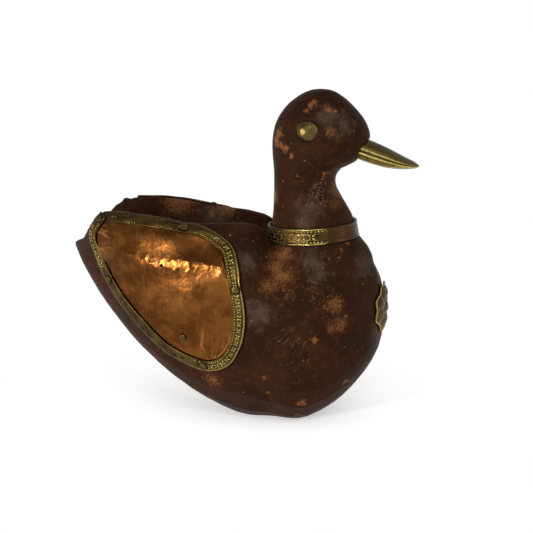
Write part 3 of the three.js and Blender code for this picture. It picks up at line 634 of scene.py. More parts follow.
def stamp_tree():
    """The tree: places and a stamp go in, and the strip comes out with its stamps on it."""
    tree = bpy.data.node_groups.new("stamps_along_a_path", "GeometryNodeTree")
    wanted = [("Geometry", "Geometry"), ("Places", "Object"), ("Stamp", "Object"), ("Size", "Float")]
    wanted += [("Unevenness", "Float"), ("Seed", "Int"), ("Metal", "Material")]
    for name, kind in wanted:
        tree.interface.new_socket(name, in_out="INPUT", socket_type="NodeSocket" + kind)
    tree.interface.new_socket("Geometry", in_out="OUTPUT", socket_type="NodeSocketGeometry")
    given = add(tree, "NodeGroupInput").outputs
    places, stamp = (
        add(tree, "GeometryNodeObjectInfo", {"Object": given[name]}).outputs["Geometry"]
        for name in ("Places", "Stamp")
    )
    out, along = (
        add(tree, "GeometryNodeInputNamedAttribute", {"Name": name}, data_type="FLOAT_VECTOR").outputs[0]
        for name in ("out", "along")
    )
    axes = {"primary_axis": "Z", "secondary_axis": "X"}
    turn = add(tree, "FunctionNodeAxesToRotation", {0: out, 1: along}, **axes).outputs[0]
    least, most = (
        add(tree, "ShaderNodeMath", {0: 1.0, 1: given["Unevenness"]}, operation=operation).outputs[0]
        for operation in ("SUBTRACT", "ADD")
    )
    sockets = {2: least, 3: most, "Seed": given["Seed"]}
    uneven = add(tree, "FunctionNodeRandomValue", sockets, data_type="FLOAT").outputs[1]
    size = add(tree, "ShaderNodeMath", {0: uneven, 1: given["Size"]}, operation="MULTIPLY").outputs[0]
    sockets = {"Points": places, "Instance": stamp, "Rotation": turn, "Scale": size}
    set_out = add(tree, "GeometryNodeInstanceOnPoints", sockets).outputs[0]
    joined = add(tree, "GeometryNodeJoinGeometry", {"Geometry": set_out})
    tree.links.new(given["Geometry"], joined.inputs["Geometry"])
    solid = add(tree, "GeometryNodeRealizeInstances", {"Geometry": joined.outputs[0]}).outputs[0]
    dressed = add(tree, "GeometryNodeSetMaterial", {"Geometry": solid, "Material": given["Metal"]})
    add(tree, "NodeGroupOutput", {"Geometry": dressed.outputs[0]})
    return tree


STAMPS = stamp_tree()
INPUT_IDS = {
    item.name: item.identifier for item in STAMPS.interface.items_tree if item.in_out == "INPUT"
}
print("tree:", STAMPS.name, "with inputs", sorted(INPUT_IDS))

# %% Running the tree


def places_object(points, out, along):
    """An object whose points are the places, in millimetres, with their two directions."""
    mesh = bpy.data.meshes.new("places")
    mesh.from_pydata((np.asarray(points) * MM).tolist(), [], [])
    for name, rows in (("out", out), ("along", along)):
        layer = mesh.attributes.new(name, "FLOAT_VECTOR", "POINT")
        layer.data.foreach_set("vector", np.ascontiguousarray(rows, np.float32).ravel())
    return link("places", mesh)


def stamp_along(piece, stamp, places, metal, size=1.0, unevenness=0.1, seed=1):
    """Sets a stamp at every place and joins the stamps to the piece."""
    run = piece.modifiers.new("stamps", "NODES")
    run.node_group = STAMPS
    chosen = {"Places": places, "Stamp": stamp, "Size": size, "Unevenness": unevenness}
    chosen |= {"Seed": seed, "Metal": metal}
    for name, value in chosen.items():
        run[INPUT_IDS[name]] = value
    settle(piece)
    bpy.data.objects.remove(places)


def round_stamp(name, profile, steps, most_raised):
    """A turned stamp from a profile of radius and height in millimetres; its foot is at the origin."""
    turn = np.arange(steps) / steps * 2 * np.pi
    rings = [[(r * math.cos(a), r * math.sin(a), h) for a in turn] for r, h in profile]
    tall = max(h for _, h in profile)
    raised = np.array([[most_raised * np.clip(h / tall, 0, 1)] for _, h in profile])
    grime = np.array([[0.55 * (h < 0.3 * tall)] for _, h in profile])
    return skin(name, rings, BRASS, raised=raised, grime=grime)


bead = round_stamp("bead", [(0.6, -0.3), (0.6, 0), (0.45, 0.28), (0.2, 0.42), (0.02, 0.45)], 8, 0.8)
PIN_HEAD = 2.5
PIN_DOME = 0.74
pin_profile = [(0.02, -7), (0.8, -4.6), (0.8, -0.05), (PIN_HEAD * 0.96, -0.05), (PIN_HEAD, 0.1)]
pin_profile += [(PIN_HEAD, 0.4), (PIN_HEAD * 0.93, 0.6), (PIN_HEAD * 0.8, 0.69)]
pin_profile += [(PIN_HEAD * 0.5, 0.72), (PIN_HEAD * 0.2, PIN_DOME), (0.02, PIN_DOME)]
pin = round_stamp("pin", pin_profile, 20, 0.25)
print("stamps:", bead.name, pin.name)

# %% [markdown]
# The cross stamp is four long petals round a bead. Each petal is a low ridge, a few faces only, since
# it is set out more than a hundred times.

# %% Cross stamp
CROSS_HEIGHT = 0.5


def cross_stamp(reach, rise, half_width, height):
    """Four petals that point to the corners of a box of reach by rise."""
    made = bmesh.new()
    for sx, sy in ((1, 1), (-1, 1), (-1, -1), (1, -1)):
        tip = np.array((sx * reach, sy * rise))
        side = np.array((-tip[1], tip[0])) / np.linalg.norm(tip)
        ridge = [tip * share for share in (0.12, 0.38, 0.68, 1.0)]
        wide = [half_width * w for w in (0.55, 1.0, 0.85, 0.1)]
        tall = [height * h for h in (0.75, 1.0, 0.8, 0.15)]
        rows = []
        for centre, w, h in zip(ridge, wide, tall):
            spread = ((-w, -0.25), (-0.55 * w, 0.7 * h), (0, h), (0.55 * w, 0.7 * h), (w, -0.25))
            rows.append([made.verts.new((*(centre + side * s), z)) for s, z in spread])
        for here, there in zip(rows, rows[1:]):
            for k in range(4):
                made.faces.new((here[k], here[k + 1], there[k + 1], there[k]))
            made.faces.new((here[4], here[0], there[0], there[4]))
        made.faces.new(rows[0])
        made.faces.new(rows[-1])
    bmesh.ops.recalc_face_normals(made, faces=made.faces)
    mesh = bpy.data.meshes.new("cross")
    made.to_mesh(mesh)
    made.free()
    mesh.transform(Matrix.Scale(MM, 4))
    mesh.shade_smooth()
    set_value(mesh, "raised", np.clip(points_of(mesh)[:, 2] / (height * MM), 0, 1))
    set_value(mesh, "grime", np.zeros(len(mesh.vertices)))
    return link("cross", mesh)


def dulled_stamp(stamp):
    """A copy of a stamp that handling never rubbed bright."""
    made = link(stamp.name + "_dull", stamp.data.copy())
    heights = points_of(made.data)[:, 2] / MM
    set_value(made.data, "raised", 0.4 * np.clip(heights / CROSS_HEIGHT, 0, 1))
    set_value(made.data, "grime", np.full(len(heights), 0.1))
    return made


cross = cross_stamp(3.5, 2.7, 0.85, CROSS_HEIGHT)
dull_stamps = {stamp.name: dulled_stamp(stamp) for stamp in (bead, cross)}
print("cross stamp:", len(cross.data.polygons), "faces")

# %% [markdown]
# ## Wings
# Each wing is a thin copper sheet beaten onto the flank, with one brass strip round its edge and six
# pins. The path of the strip is drawn from the side and laid onto the flank, so both wings follow from
# one drawing: the right wing is the left one mirrored, but beaten with its own blows.

# %% Path of the edging
GAP = 0.35
STRIP_WIDTH = 7.8
STRIP_THICKNESS = 0.8
SHEET_THICKNESS = 0.5
SHEET_TOP = GAP + SHEET_THICKNESS
STRIP_FOOT = SHEET_TOP + GAP
STRIP_TOP = STRIP_FOOT + STRIP_THICKNESS
EDGING = [(0.169, 0.983), (0.239, 0.98), (0.302, 0.976), (0.354, 0.967), (0.413, 0.951), (0.461, 0.938)]
EDGING += [(0.508, 0.905), (0.547, 0.861), (0.566, 0.805), (0.583, 0.69), (0.593, 0.565), (0.583, 0.44)]
EDGING += [(0.553, 0.352), (0.52, 0.314), (0.475, 0.304), (0.413, 0.332), (0.352, 0.38), (0.28, 0.477)]
EDGING += [(0.205, 0.6), (0.166, 0.677), (0.128, 0.783), (0.107, 0.86), (0.109, 0.905), (0.122, 0.938)]
EDGING += [(0.136, 0.964), (0.145, 0.984)]
PIN_PLACES = {"top": 4, "front": 9, "low": 14, "rear": 19, "tip": 24}
SHEET_PIN = (0.413, 0.436)
SHEET_HOLE = (0.353, 0.781)
SHEET_HOLE_SIZE = 1.9
SHEET_MIDDLE = (0.364, 0.669)


def seen(place):
    """A drawn place as x and z in millimetres."""
    return drawn([place])[0][[0, 2]]


def run_along(line):
    """How far along a line of points each point is."""
    return np.concatenate([[0], np.cumsum(np.linalg.norm(np.diff(line, axis=0), axis=1))])


path_fine = smooth_line(drawn(EDGING))(np.linspace(0, 1, 4000))
path_run = run_along(path_fine)
PATH_LENGTH = path_run[-1]
PIN_RUN = {
    name: float(path_run[np.argmin(np.linalg.norm(path_fine - drawn([EDGING[k]])[0], axis=1))])
    for name, k in PIN_PLACES.items()
}


def path_places(distances):
    """Spots on the flank at distances along the edging, with the ways along it and into the wing."""
    x, z = (np.interp(distances, path_run, path_fine[:, i]) for i in (0, 2))
    u, v = spot_at(np.stack([x, z], 1))
    line, out = surface(u, v)
    along = unit(np.gradient(line, axis=0))
    return u, v, along, unit(np.cross(out, along))


pins_at = {name: round(run) for name, run in PIN_RUN.items()}
print("edging is", round(PATH_LENGTH), "mm long from the side, pins at", pins_at)

# %% [markdown]
# The strip lies on the wood with its outer edge and steps up over the edge of the sheet. Its outer edge
# is rolled smooth, and the pins have pressed shallow cups into it, where dirt has gathered; the dark ring
# round each pin's foot is painted shade with that dirt. The stamps are sharp at the front. Behind, hands
# have worn them nearly flat, and only dark pits are left. The top run, where no hand rubs, has gone dull.

# %% Pins and wear along the edging


def hump(value, middle, width):
    """1 at the middle, and falling away smoothly on both sides of it."""
    return np.exp(-(((value - middle) / width) ** 2))


def mirror(points, side):
    """Points or directions of the left side, or of the right where side is -1."""
    return points * (1, side, 1)


# Where the pins of the left wing meet the flank, the way out there and how far off it the heads sit.
pins_drawn = [EDGING[k] for k in PIN_PLACES.values()] + [SHEET_PIN]
WING_PINS, PINS_OUT = surface(*spot_at([seen(place) for place in pins_drawn]))
PIN_LIFT = np.array([STRIP_TOP] * len(PIN_PLACES) + [SHEET_TOP])[:, None]


def pin_gap(places):
    """How far each place is from the nearest pin."""
    return np.linalg.norm(places[:, None] - WING_PINS[None], axis=2).min(1)


def strip_rise(across):
    """How far the strip's underside stands off the wood: it steps up over the sheet."""
    half = STRIP_WIDTH / 2
    return GAP + (STRIP_FOOT - GAP) * smoothstep(across, -half + 1.3, -half + 2.1)


def worn_flat(distances):
    """How far the stamps are worn away along the strip: fully between the low and the rear pin."""
    start, end = PIN_RUN["low"], PIN_RUN["rear"]
    return smoothstep(distances, start - 4, start + 14) * (1 - smoothstep(distances, end - 6, end + 12))


def dulled(distances):
    """How dull the strip is: most along the top."""
    return 1 - smoothstep(distances, PIN_RUN["top"] - 2, PIN_RUN["top"] + 45)


print("pins on a wing:", len(WING_PINS))

# %% Wing edging
STRIP_STEP = 0.5
ROLL_HEIGHT = 0.3
CUP_REACH = 3.9
CUP_DEPTH = 0.35
BEAD_PITCH = 1.75
CROSS_PITCH = 4.3
PIT_PITCH = 8.5
PIT_STRAY = 2.6
PIT_BAND = (-1.6, 2.2)
PIT_LENGTH = 1.9
PIT_WIDTH = 0.95
PIN_CLEAR = 3.4  # no stamp is nearer to a pin
DIRT_AND_SHADE_RING = 2.9  # radius of the dark ring round a pin: dirt, with painted shade at the pin's foot
STRIP_ACROSS = 27
STRIP_UNDER = 7
# Stamp, pitch, place across the strip and size.
STRIP_STAMPS = [(bead, BEAD_PITCH, 2.6, 0.95), (cross, CROSS_PITCH, -0.2, 0.58)]


def edging(name, side, seed):
    """The strip of one wing, with its rolled edge, cups and pits, and then its beads and crosses."""
    half = STRIP_WIDTH / 2
    draw = np.random.default_rng(seed)
    distances = np.linspace(0, PATH_LENGTH, int(PATH_LENGTH / STRIP_STEP))
    u, v, _, inward = path_places(distances)
    worn, dull = worn_flat(distances), dulled(distances)
    pit_run = np.arange(6, PATH_LENGTH, PIT_PITCH)
    pit_run = pit_run + draw.uniform(-PIT_STRAY, PIT_STRAY, len(pit_run))
    pit_across = draw.uniform(*PIT_BAND, len(pit_run))
    wobble = 0.12 * np.sin(distances / 6.1 + seed) + 0.1 * np.sin(distances / 2.3 + 2 * seed)
    over = np.linspace(-half, half, STRIP_ACROSS)
    under = np.linspace(half - 0.15, -half + 0.15, STRIP_UNDER)
    rows = []
    for k, offset in enumerate(np.concatenate([over, under])):
        place, normal = surface(*moved(u, v, inward * (offset + wobble * abs(offset) / half)[:, None]))
        lift = np.full(len(distances), float(strip_rise(offset)))
        raised, grime = 0 * distances, 0 * distances + 0.6
        if k < len(over):
            roll = ROLL_HEIGHT * hump(offset, 0.8 - half, 0.55)
            lip = 0.7 * ROLL_HEIGHT * hump(offset, half - 0.4, 0.3)
            lift += STRIP_THICKNESS + roll + lip - 0.3 * smoothstep(abs(offset), half - 0.25, half)
            lift += 0.1 * np.sin(distances / 3.7 + offset * 1.3 + seed)
            near = pin_gap(place)
            lift -= CUP_DEPTH * (1 - smoothstep(near, 2.2, CUP_REACH))
            apart = (distances[:, None] - pit_run) / PIT_LENGTH, (offset - pit_across) / PIT_WIDTH
            pit = hump(np.hypot(*apart).min(1), 0, 1) * (0.25 + 0.75 * worn)
            lift -= 0.2 * pit
            ridge = max(roll, 0.6 * lip) / ROLL_HEIGHT
            raised = (0.55 * ridge * (1 - 0.6 * worn) + 0.08 * worn) * (1 - 0.5 * dull)
            # a dark ring round each pin's foot, painted shade with dirt in the cup, and dark worn pits
            grime = np.maximum(1.15 * hump(near, DIRT_AND_SHADE_RING, 0.55), 1.5 * pit)
        rows.append((mirror(place + normal * lift[:, None], side), raised, grime))
    rings, raised, grime = (np.stack(part, 1) for part in zip(*rows))
    piece = skin(name, rings, BRASS, raised=raised, grime=grime)
    for stamp, pitch, offset, size in STRIP_STAMPS:
        spots = np.arange(pitch, PATH_LENGTH - pitch, pitch)
        u, v, along, inward = path_places(spots)
        place, normal = surface(*moved(u, v, inward * offset))
        kept = pin_gap(place) > PIN_CLEAR
        kept &= draw.uniform(0, 1, len(spots)) > 1.02 * worn_flat(spots)
        sunk = 0.02 + 0.38 * dulled(spots) + 0.12 * worn_flat(spots)
        place = place + normal * (STRIP_TOP - sunk)[:, None]
        places = places_object(*(mirror(rows[kept], side) for rows in (place, normal, along)))
        stamp_along(piece, stamp, places, BRASS, size, 0.16, seed)
    return piece


edging_right = edging("stamped_edging_right", -1, 3)
edging_left = edging("stamped_edging_left", 1, 8)
hand_over(edging_right, "brass", "wing_edging_right")
hand_over(edging_left, "brass", "wing_edging_left")

# %% [markdown]
# The sheet was beaten over a bend with a round hammer, which leaves shallow dishes with sharp edges
# between them. They are deepest along the bend, which stands proud, and break its highlight into flakes.
# At the rear edge the sheet did not take the curve and has crumpled, and low at the front it is wrinkled.
# Under the strip it lies flat. The blows are real dents in the mesh, so they break up a reflection from
# every side.

# %% Blows of the hammer
BLOW = 9.0
BLOW_DEPTH = 0.05
DISH = 3.0
DISH_DEPTH = 0.22
BEND_LINE = ((-92, -72, -30), (108.5, 105.3, 108))  # x and z from its rear to its front end
BEND_REACH = 6.5
BEND_HEIGHT = 1.15
WRINKLE_HEIGHT = 0.3


def dished(places, seed):
    """Overlapping shallow dishes with sharp edges between them, as a round hammer leaves."""
    draw = np.random.default_rng(int(seed))
    low, high = places.min(0), places.max(0)
    count = int((high[0] - low[0]) * (high[2] - low[2]) / DISH**2)
    blows = kdtree.KDTree(count)
    for k, (x, z) in enumerate(draw.uniform((low[0], low[2]), (high[0], high[2]), (count, 2))):
        blows.insert((x, 0, z), k)
    blows.balance()
    shift = 1.5 * rough(places, 3.2, seed + 2)
    gaps = [blows.find((x + s, 0, z - s))[2] for (x, _, z), s in zip(places, shift)]
    return (np.array(gaps) / DISH) ** 2


def ridges(places, stretch, size, shift, width):
    """Lines that wander: 1 on a line and 0 a little beside it."""
    return 1 - smoothstep(np.abs(rough(places * stretch, size, shift)), 0, width)


def wrinkled(places, seed):
    """Where the sheet has folded: level crumples at its rear edge, upright wrinkles low at its front."""
    x, z = places[:, 0], places[:, 2]
    rear = (1 - smoothstep(x, -105, -94)) * hump(z, 116, 12)
    low_front = smoothstep(x, -54, -42) * (1 - smoothstep(z, 62, 76))
    crumples = 1.4 * rear * ridges(places, (0.12, 0.4, 1), 4.0, seed + 9, 0.3)
    return crumples + low_front * ridges(places, (1, 1, 0.16), 4.2, seed + 13, 0.16)


def beaten(places, seed):
    """How far the hammer has moved the sheet at places in millimetres."""
    x, z = places[:, 0], places[:, 2]
    near_bend = hump(z, np.interp(x, *BEND_LINE), BEND_REACH)
    moved_by = BEND_HEIGHT * near_bend + BLOW_DEPTH * rough(places * (1, 0.6, 0.7), BLOW, seed)
    moved_by += DISH_DEPTH * (0.14 + near_bend) * (dished(places, seed) - 0.3)
    return moved_by + WRINKLE_HEIGHT * wrinkled(places, seed)


print("the bend is", round(float(np.interp(-60, *BEND_LINE)), 1), "mm up at x -60")

# %% Copper sheets
SHEET_RINGS = 96
SHEET_STEPS = 400
DENT_LIMITS = (-0.45, 1.4)
UNDERLAP = 1.0
FREE_FROM = (-0.4, 1.8)  # from the strip's edge inwards, where the sheet stops lying flat
SHEET_CUP = 0.3


def plate(name, metal, below, above, raised, grime, every, raised_below=0.0):
    """A thin piece in rings from its middle to its edge; its underside has only every few of the rings."""
    under = 0 * grime[::every]
    rings = np.concatenate([below[::every], above[::-1]])
    values = {"raised": np.concatenate([under + raised_below, raised[::-1]])}
    values["grime"] = np.concatenate([under, grime[::-1]])
    return skin(name, rings, metal, **values)


def sheet(name, side, seed):
    """The sheet of one wing, in rings from its middle out to the edge under the strip."""
    u, v, _, inward = path_places(np.linspace(0, PATH_LENGTH, SHEET_STEPS))
    eu, ev = moved(u, v, inward * -UNDERLAP)
    mu, mv = (float(a[0]) for a in spot_at([seen(SHEET_MIDDLE)]))
    shares = np.linspace(0.004, 1, SHEET_RINGS)[:, None]
    gu, gv = mu + (eu - mu) * shares, mv + (ev - mv) * shares
    place, normal = surface(gu, gv)
    dents = beaten(place.reshape(-1, 3), seed).reshape(gu.shape)
    edge = np.linalg.norm(place - flank(eu, ev), axis=2) - UNDERLAP - STRIP_WIDTH / 2
    near = np.linalg.norm(place - WING_PINS[-1], axis=2)
    cup = SHEET_CUP * (1 - smoothstep(near, 2.0, 4.5))
    shape = np.clip(dents * smoothstep(edge, *FREE_FROM) - cup, *DENT_LIMITS)[..., None] * normal
    over = place + normal * SHEET_TOP + shape
    below = place + normal * GAP + np.minimum(shape, 0)
    front = smoothstep(place[..., 0], -45, -25) * (1 - smoothstep(place[..., 2], 96, 104))
    crests = 0.8 * wrinkled(place.reshape(-1, 3), seed).reshape(gu.shape)
    bright = np.maximum(1.2 * hump(edge, 1.1, 0.6) * front, crests)
    # Dark along the edge that goes under the strip and round the pin: painted shade where the parts meet,
    # with some dirt.
    dirt_and_shade = np.maximum(0.6 * hump(edge, 0.1, 0.7), 0.7 * hump(near, DIRT_AND_SHADE_RING, 0.5))
    return plate(name, COPPER, mirror(below, side), mirror(over, side), bright, dirt_and_shade, 6)


sheet_right = sheet("beaten_sheet_right", -1, 21.0)
sheet_left = sheet("beaten_sheet_left", 1, 43.0)

# %% [markdown]
# One nail of the right wing is lost, and its hole is left in the copper. A boolean with a small rod
# cuts it cleanly through the dented sheet.

# %% Nail hole
hole_place, hole_out = (mirror(rows, -1)[0] for rows in surface(*spot_at([seen(SHEET_HOLE)])))
rod_turn = Vector(hole_out).to_track_quat("Z", "Y").to_matrix()
circle = [Vector((math.cos(a), math.sin(a), 0)) for a in np.arange(16) / 16 * 2 * math.pi]
rod_rings = [
    [np.array(rod_turn @ (c * SHEET_HOLE_SIZE / 2)) + hole_place + hole_out * h for c in circle]
    for h in (-0.2, 3)
]
rod = skin("rod", rod_rings, COPPER, raised=0.0, grime=1.0)
cut = sheet_right.modifiers.new("nail hole", "BOOLEAN")
cut.operation = "DIFFERENCE"
cut.object = rod
settle(sheet_right)
bpy.data.objects.remove(rod)
hand_over(sheet_right, "copper", "wing_sheet_right")
hand_over(sheet_left, "copper", "wing_sheet_left")

# %% Wing pins
for word, side, seed in (("right", -1, 4), ("left", 1, 6)):
    along = unit(np.cross(PINS_OUT, (0.0, 1.0, 0.3)))
    heads = WING_PINS + PINS_OUT * (PIN_LIFT - 0.1)
    spots = places_object(*(mirror(rows, side) for rows in (heads, PINS_OUT, along)))
    pins = link(f"wing_pins_{word}", bpy.data.meshes.new(f"wing_pins_{word}"))
    stamp_along(pins, pin, spots, BRASS, 1.0, 0.06, seed)
    names = [f"wing_pin_{word}_{place}" for place in (*PIN_PLACES, "sheet")]
    hand_over(pins, "brass", *names)

# %% [markdown]
# ## Collar
# The collar is one stamped strip bent round the neck, its end lapped over its start at the right front.
# It leans with the neck, so it is a strip wound round an oval on a slope, with a border of beads along
# both edges and crosses between. It is bright, with a dark ground, only at the front of the duck's right
# side, where it faces the camera: it is rubbed there, and the brightness is partly a painted highlight.
# Elsewhere it is dull and filled with dirt and old wax.

# %% Shape of the collar
NECK_ALONG = 0.77
NECK_DROP = 12.5
COLLAR_RISE = 1
NECK_X = (NECK_ALONG - ORIGIN_ALONG) * BODY_LENGTH
NECK_LENGTH = 56
NECK_WIDTH = 50
SEAT_Z = BODY_HEIGHT - NECK_DROP
COLLAR_Z = SEAT_Z + COLLAR_RISE
COLLAR_TILT = math.tan(math.radians(4))
COLLAR_HEIGHT = 10
COLLAR_THICKNESS = 0.9
COLLAR_TAPER = 0.9
LAP_ANGLE = -62
LAP = 13
COLLAR_START = LAP_ANGLE - LAP
COLLAR_SWEEP = 360 + LAP
BROWNED_TO = 75  # degrees from its start; up to there old wax and dirt hide the brass
# the collar is brightest where it faces the camera: rubbed, and partly a painted highlight
RUBBED_AND_LIT_AT = -80
RUBBED_AND_LIT_SPREAD = 19


def collar_point(along, grow, up):
    """A point of the strip, by degrees from its start, how far outside the neck, and up from its middle."""
    turn = np.radians(COLLAR_START + along)
    wide = grow - COLLAR_TAPER * up / (COLLAR_HEIGHT / 2)
    x = NECK_X + (NECK_LENGTH / 2 + wide) * np.cos(turn)
    y = (NECK_WIDTH / 2 + wide) * np.sin(turn)
    return np.stack([x, y, COLLAR_Z + up + COLLAR_TILT * (x - NECK_X)], -1)


def collar_lift(along):
    """How far the strip's inside stands off the neck: the end rides up over the start."""
    start = 360 - 1.6 * LAP
    return GAP + (COLLAR_THICKNESS + GAP) * smoothstep(along, start, start + LAP)


def collar_end(along):
    """The end of the strip is rounded at its corners: how much of the height is left there."""
    last = np.clip((COLLAR_SWEEP - along) / 5, 0, 1)
    return 0.55 + 0.45 * np.sqrt(1 - (1 - last) ** 2)


def rubbed_and_lit(along):
    """How bright the collar is along the strip: rubbed, and a painted highlight where it faces the camera.
    """
    turned = (COLLAR_START + along - RUBBED_AND_LIT_AT + 180) % 360 - 180
    return hump(turned, 0, RUBBED_AND_LIT_SPREAD)


inside = collar_point(np.linspace(0, COLLAR_SWEEP, 400), GAP, 0.0)
print("collar is", round(float(run_along(inside)[-1])), "mm long inside")

# %% Collar strip
COLLAR_FINE = 520
TOOTH_PITCH = 2.3
COLLAR_CROSS_PITCH = 6.6
# Stamp, pitch, place up the strip, size and seed.
COLLAR_STAMPS = [(bead, TOOTH_PITCH, 3.3, 1.35, 2), (bead, TOOTH_PITCH, -3.3, 1.35, 5)]
COLLAR_STAMPS += [(cross, COLLAR_CROSS_PITCH, 0.0, 0.98, 7)]


def collar():
    """The strip with a raised line along both edges and a fine one inside each."""
    along = np.linspace(0, COLLAR_SWEEP, COLLAR_FINE)
    half = COLLAR_HEIGHT / 2
    lift, tall = collar_lift(along), collar_end(along)
    browned = 1 - smoothstep(along, BROWNED_TO - 15, BROWNED_TO + 15)
    # bright where the strip faces the camera: rubbed wear and a painted highlight
    bright = rubbed_and_lit(along) * (1 - browned)
    rows = []
    for up in np.linspace(-half, half, 27):
        lines = hump(abs(up), half - 0.5, 0.42) + 0.4 * hump(abs(up), half - 3.0, 0.3)
        ridge = min(lines, 1.0)
        grow = lift + COLLAR_THICKNESS + 0.3 * lines + 0.05 * np.sin(along / 4.0 + up)
        grime = (1 - ridge) * (0.1 + 0.62 * bright) + 0.2 * browned
        rows.append((collar_point(along, grow, up * tall), ridge * (0.35 + 0.65 * bright), grime, browned))
    for up in np.linspace(half - 0.1, 0.1 - half, 5):
        rows.append((collar_point(along, lift, up * tall), 0 * along, 0 * along + 0.5, 0 * along))
    rings, raised, grime, waxed = (np.stack(part, 1) for part in zip(*rows))
    return skin("stamped_collar", rings, BRASS, raised=raised, grime=grime, waxed=waxed)


def collar_places(pitch, up, dull):
    """Places on the collar's bright or dull stretch, a pitch apart, with the ways out and along."""
    fine = np.linspace(0, COLLAR_SWEEP - 3, 3000)
    line = collar_point(fine, collar_lift(fine) + COLLAR_THICKNESS, up)
    run = run_along(line)
    at = np.interp(np.arange(pitch, run[-1] - pitch / 2, pitch), run, fine)
    shown = rubbed_and_lit(at) * (at > BROWNED_TO) > 0.25
    at = at[~shown & (at > BROWNED_TO + 15)] if dull else at[shown]
    grow = collar_lift(at) + COLLAR_THICKNESS - (0.16 if dull else 0.0)
    place = collar_point(at, grow, up)
    along = unit(collar_point(at + 0.2, grow, up) - place)
    rise = unit(collar_point(at, grow, up + 0.2) - place)
    return places_object(place, unit(np.cross(along, rise)), along)


collar_piece = collar()
for dull in (False, True):
    for stamp, pitch, up, size, seed in COLLAR_STAMPS:
        shine = dull_stamps[stamp.name] if dull else stamp
        stamp_along(collar_piece, shine, collar_places(pitch, up, dull), BRASS, size, 0.1, seed)
hand_over(collar_piece, "brass", "collar")

# %% [markdown]
# ## Beak and eyes
# The beak was cut from brass and filed: a dull roof, a ridge above the mouth, a dark mouth line with
# spots of dirt, and a lower lip with file marks running along it, painted brighter as a highlight. The
# eyes are large domed nails whose heads were struck round, so they are not quite circles and a few flat
# facets show.

# %% Beak
HEAD_HEIGHT = 91
HEAD_LENGTH = 62.8
BEAK_FRONT = 0.589  # where the beak leaves the head, as a share of its length
BEAK_RISE = 0.604
BEAK_LET_IN = 9
BEAK_ROOT = NECK_X + BEAK_FRONT * HEAD_LENGTH - BEAK_LET_IN
BEAK_LENGTH = 39.3
BEAK_MOUTH = SEAT_Z + BEAK_RISE * HEAD_HEIGHT
BEAK_DROP = 11
BEAK_HALF_HEIGHT = 7.3
BEAK_HALF_WIDTH = 9
# Along, drop, half height and half width, as shares of these.
BEAK_SECTIONS = [(0, 0, 1, 0.955), (0.23, 0.27, 0.98, 1), (0.48, 0.56, 0.86, 0.98)]
BEAK_SECTIONS += [(0.74, 0.82, 0.56, 0.89), (0.92, 0.945, 0.29, 0.62), (1, 1, 0.08, 0.22)]
MOUTH_DEPTH = 0.7


def beak():
    """The beak in rings from its root to its tip; tilt is how far a place looks up, in degrees."""
    shares = np.array(BEAK_SECTIONS, float)
    along = shares[:, 0] * BEAK_LENGTH
    line = smooth_line(np.stack([along, 0 * along, shares[:, 1]], 1))
    halves = shares[:, 3] * BEAK_HALF_WIDTH, shares[:, 2] * BEAK_HALF_HEIGHT
    sizes = smooth_line(np.stack([along, *halves], 1))
    at = np.linspace(0, 1, 120)
    x, _, drop = (column[:, None] for column in line(at).T)
    _, half, tall = (column[:, None] for column in sizes(at).T)
    turn = np.radians(np.arange(180) * 2 - 90)
    tilt = np.degrees(np.arcsin(np.sin(turn)))
    groove, second = hump(tilt, -1, 3.4), hump(tilt, -30, 4)
    ridge = hump(tilt, 13, 6) + 0.9 * hump(tilt, -13, 6)
    fade = np.minimum(half / BEAK_HALF_WIDTH, 1)
    push = fade * (0.25 * ridge - MOUTH_DEPTH * groove - 0.2 * second)
    side = np.cos(turn)
    y = half * side * (1 - 0.1 * smoothstep(tilt, 30, 60)) + np.sign(side) * push * np.abs(side) ** 0.5
    z = BEAK_MOUTH - drop * BEAK_DROP + tall * np.sin(turn)
    rings = np.stack([BEAK_ROOT + x + 0 * y, y, z], -1)
    rings[..., 2] += 0.025 * rough(rings.reshape(-1, 3) * (0.12, 1, 1), 0.9, 3.0).reshape(y.shape)
    # The lower lip is painted brighter: a painted highlight.
    lip = smoothstep(-tilt, 4, 12) * (1 - 0.5 * smoothstep(-tilt, 45, 70))
    raised = np.clip(0.12 + 0.45 * ridge * (tilt < 30) + 0.45 * lip, 0, 1)
    spots = 0.6 + 0.4 * np.sin(x * 1.35 + 0.6 * np.sin(x * 0.8))
    grime = 0.95 * groove * spots * fade + 0.25 * second + 0.08 * (tilt > 25)
    return skin("filed_beak", rings, FILED_BRASS, raised=raised, grime=grime)


hand_over(beak(), "brass", "beak")

# %% Eyes
EYE_SIZE = 14.2
EYE_HEIGHT = 4.2
EYE_RINGS = 26
EYE_STEPS = 56
FACETS = [(10, 1), (30, 4), (55, 7)]  # how far they tilt, in degrees, and how many


def struck_planes(seed):
    """Directions of the flat facets that blows left on a dome, and how far from its middle each lies."""
    draw = np.random.default_rng(seed)
    planes = []
    for tilt, count in FACETS:
        for k in range(count):
            a = (k + draw.uniform(-0.3, 0.3)) / count * 2 * np.pi
            b = math.radians(tilt + draw.uniform(-6, 6))
            way = np.array((math.sin(b) * math.cos(a), math.sin(b) * math.sin(a), math.cos(b)))
            planes.append((way, draw.uniform(0.955, 0.985)))
    return planes


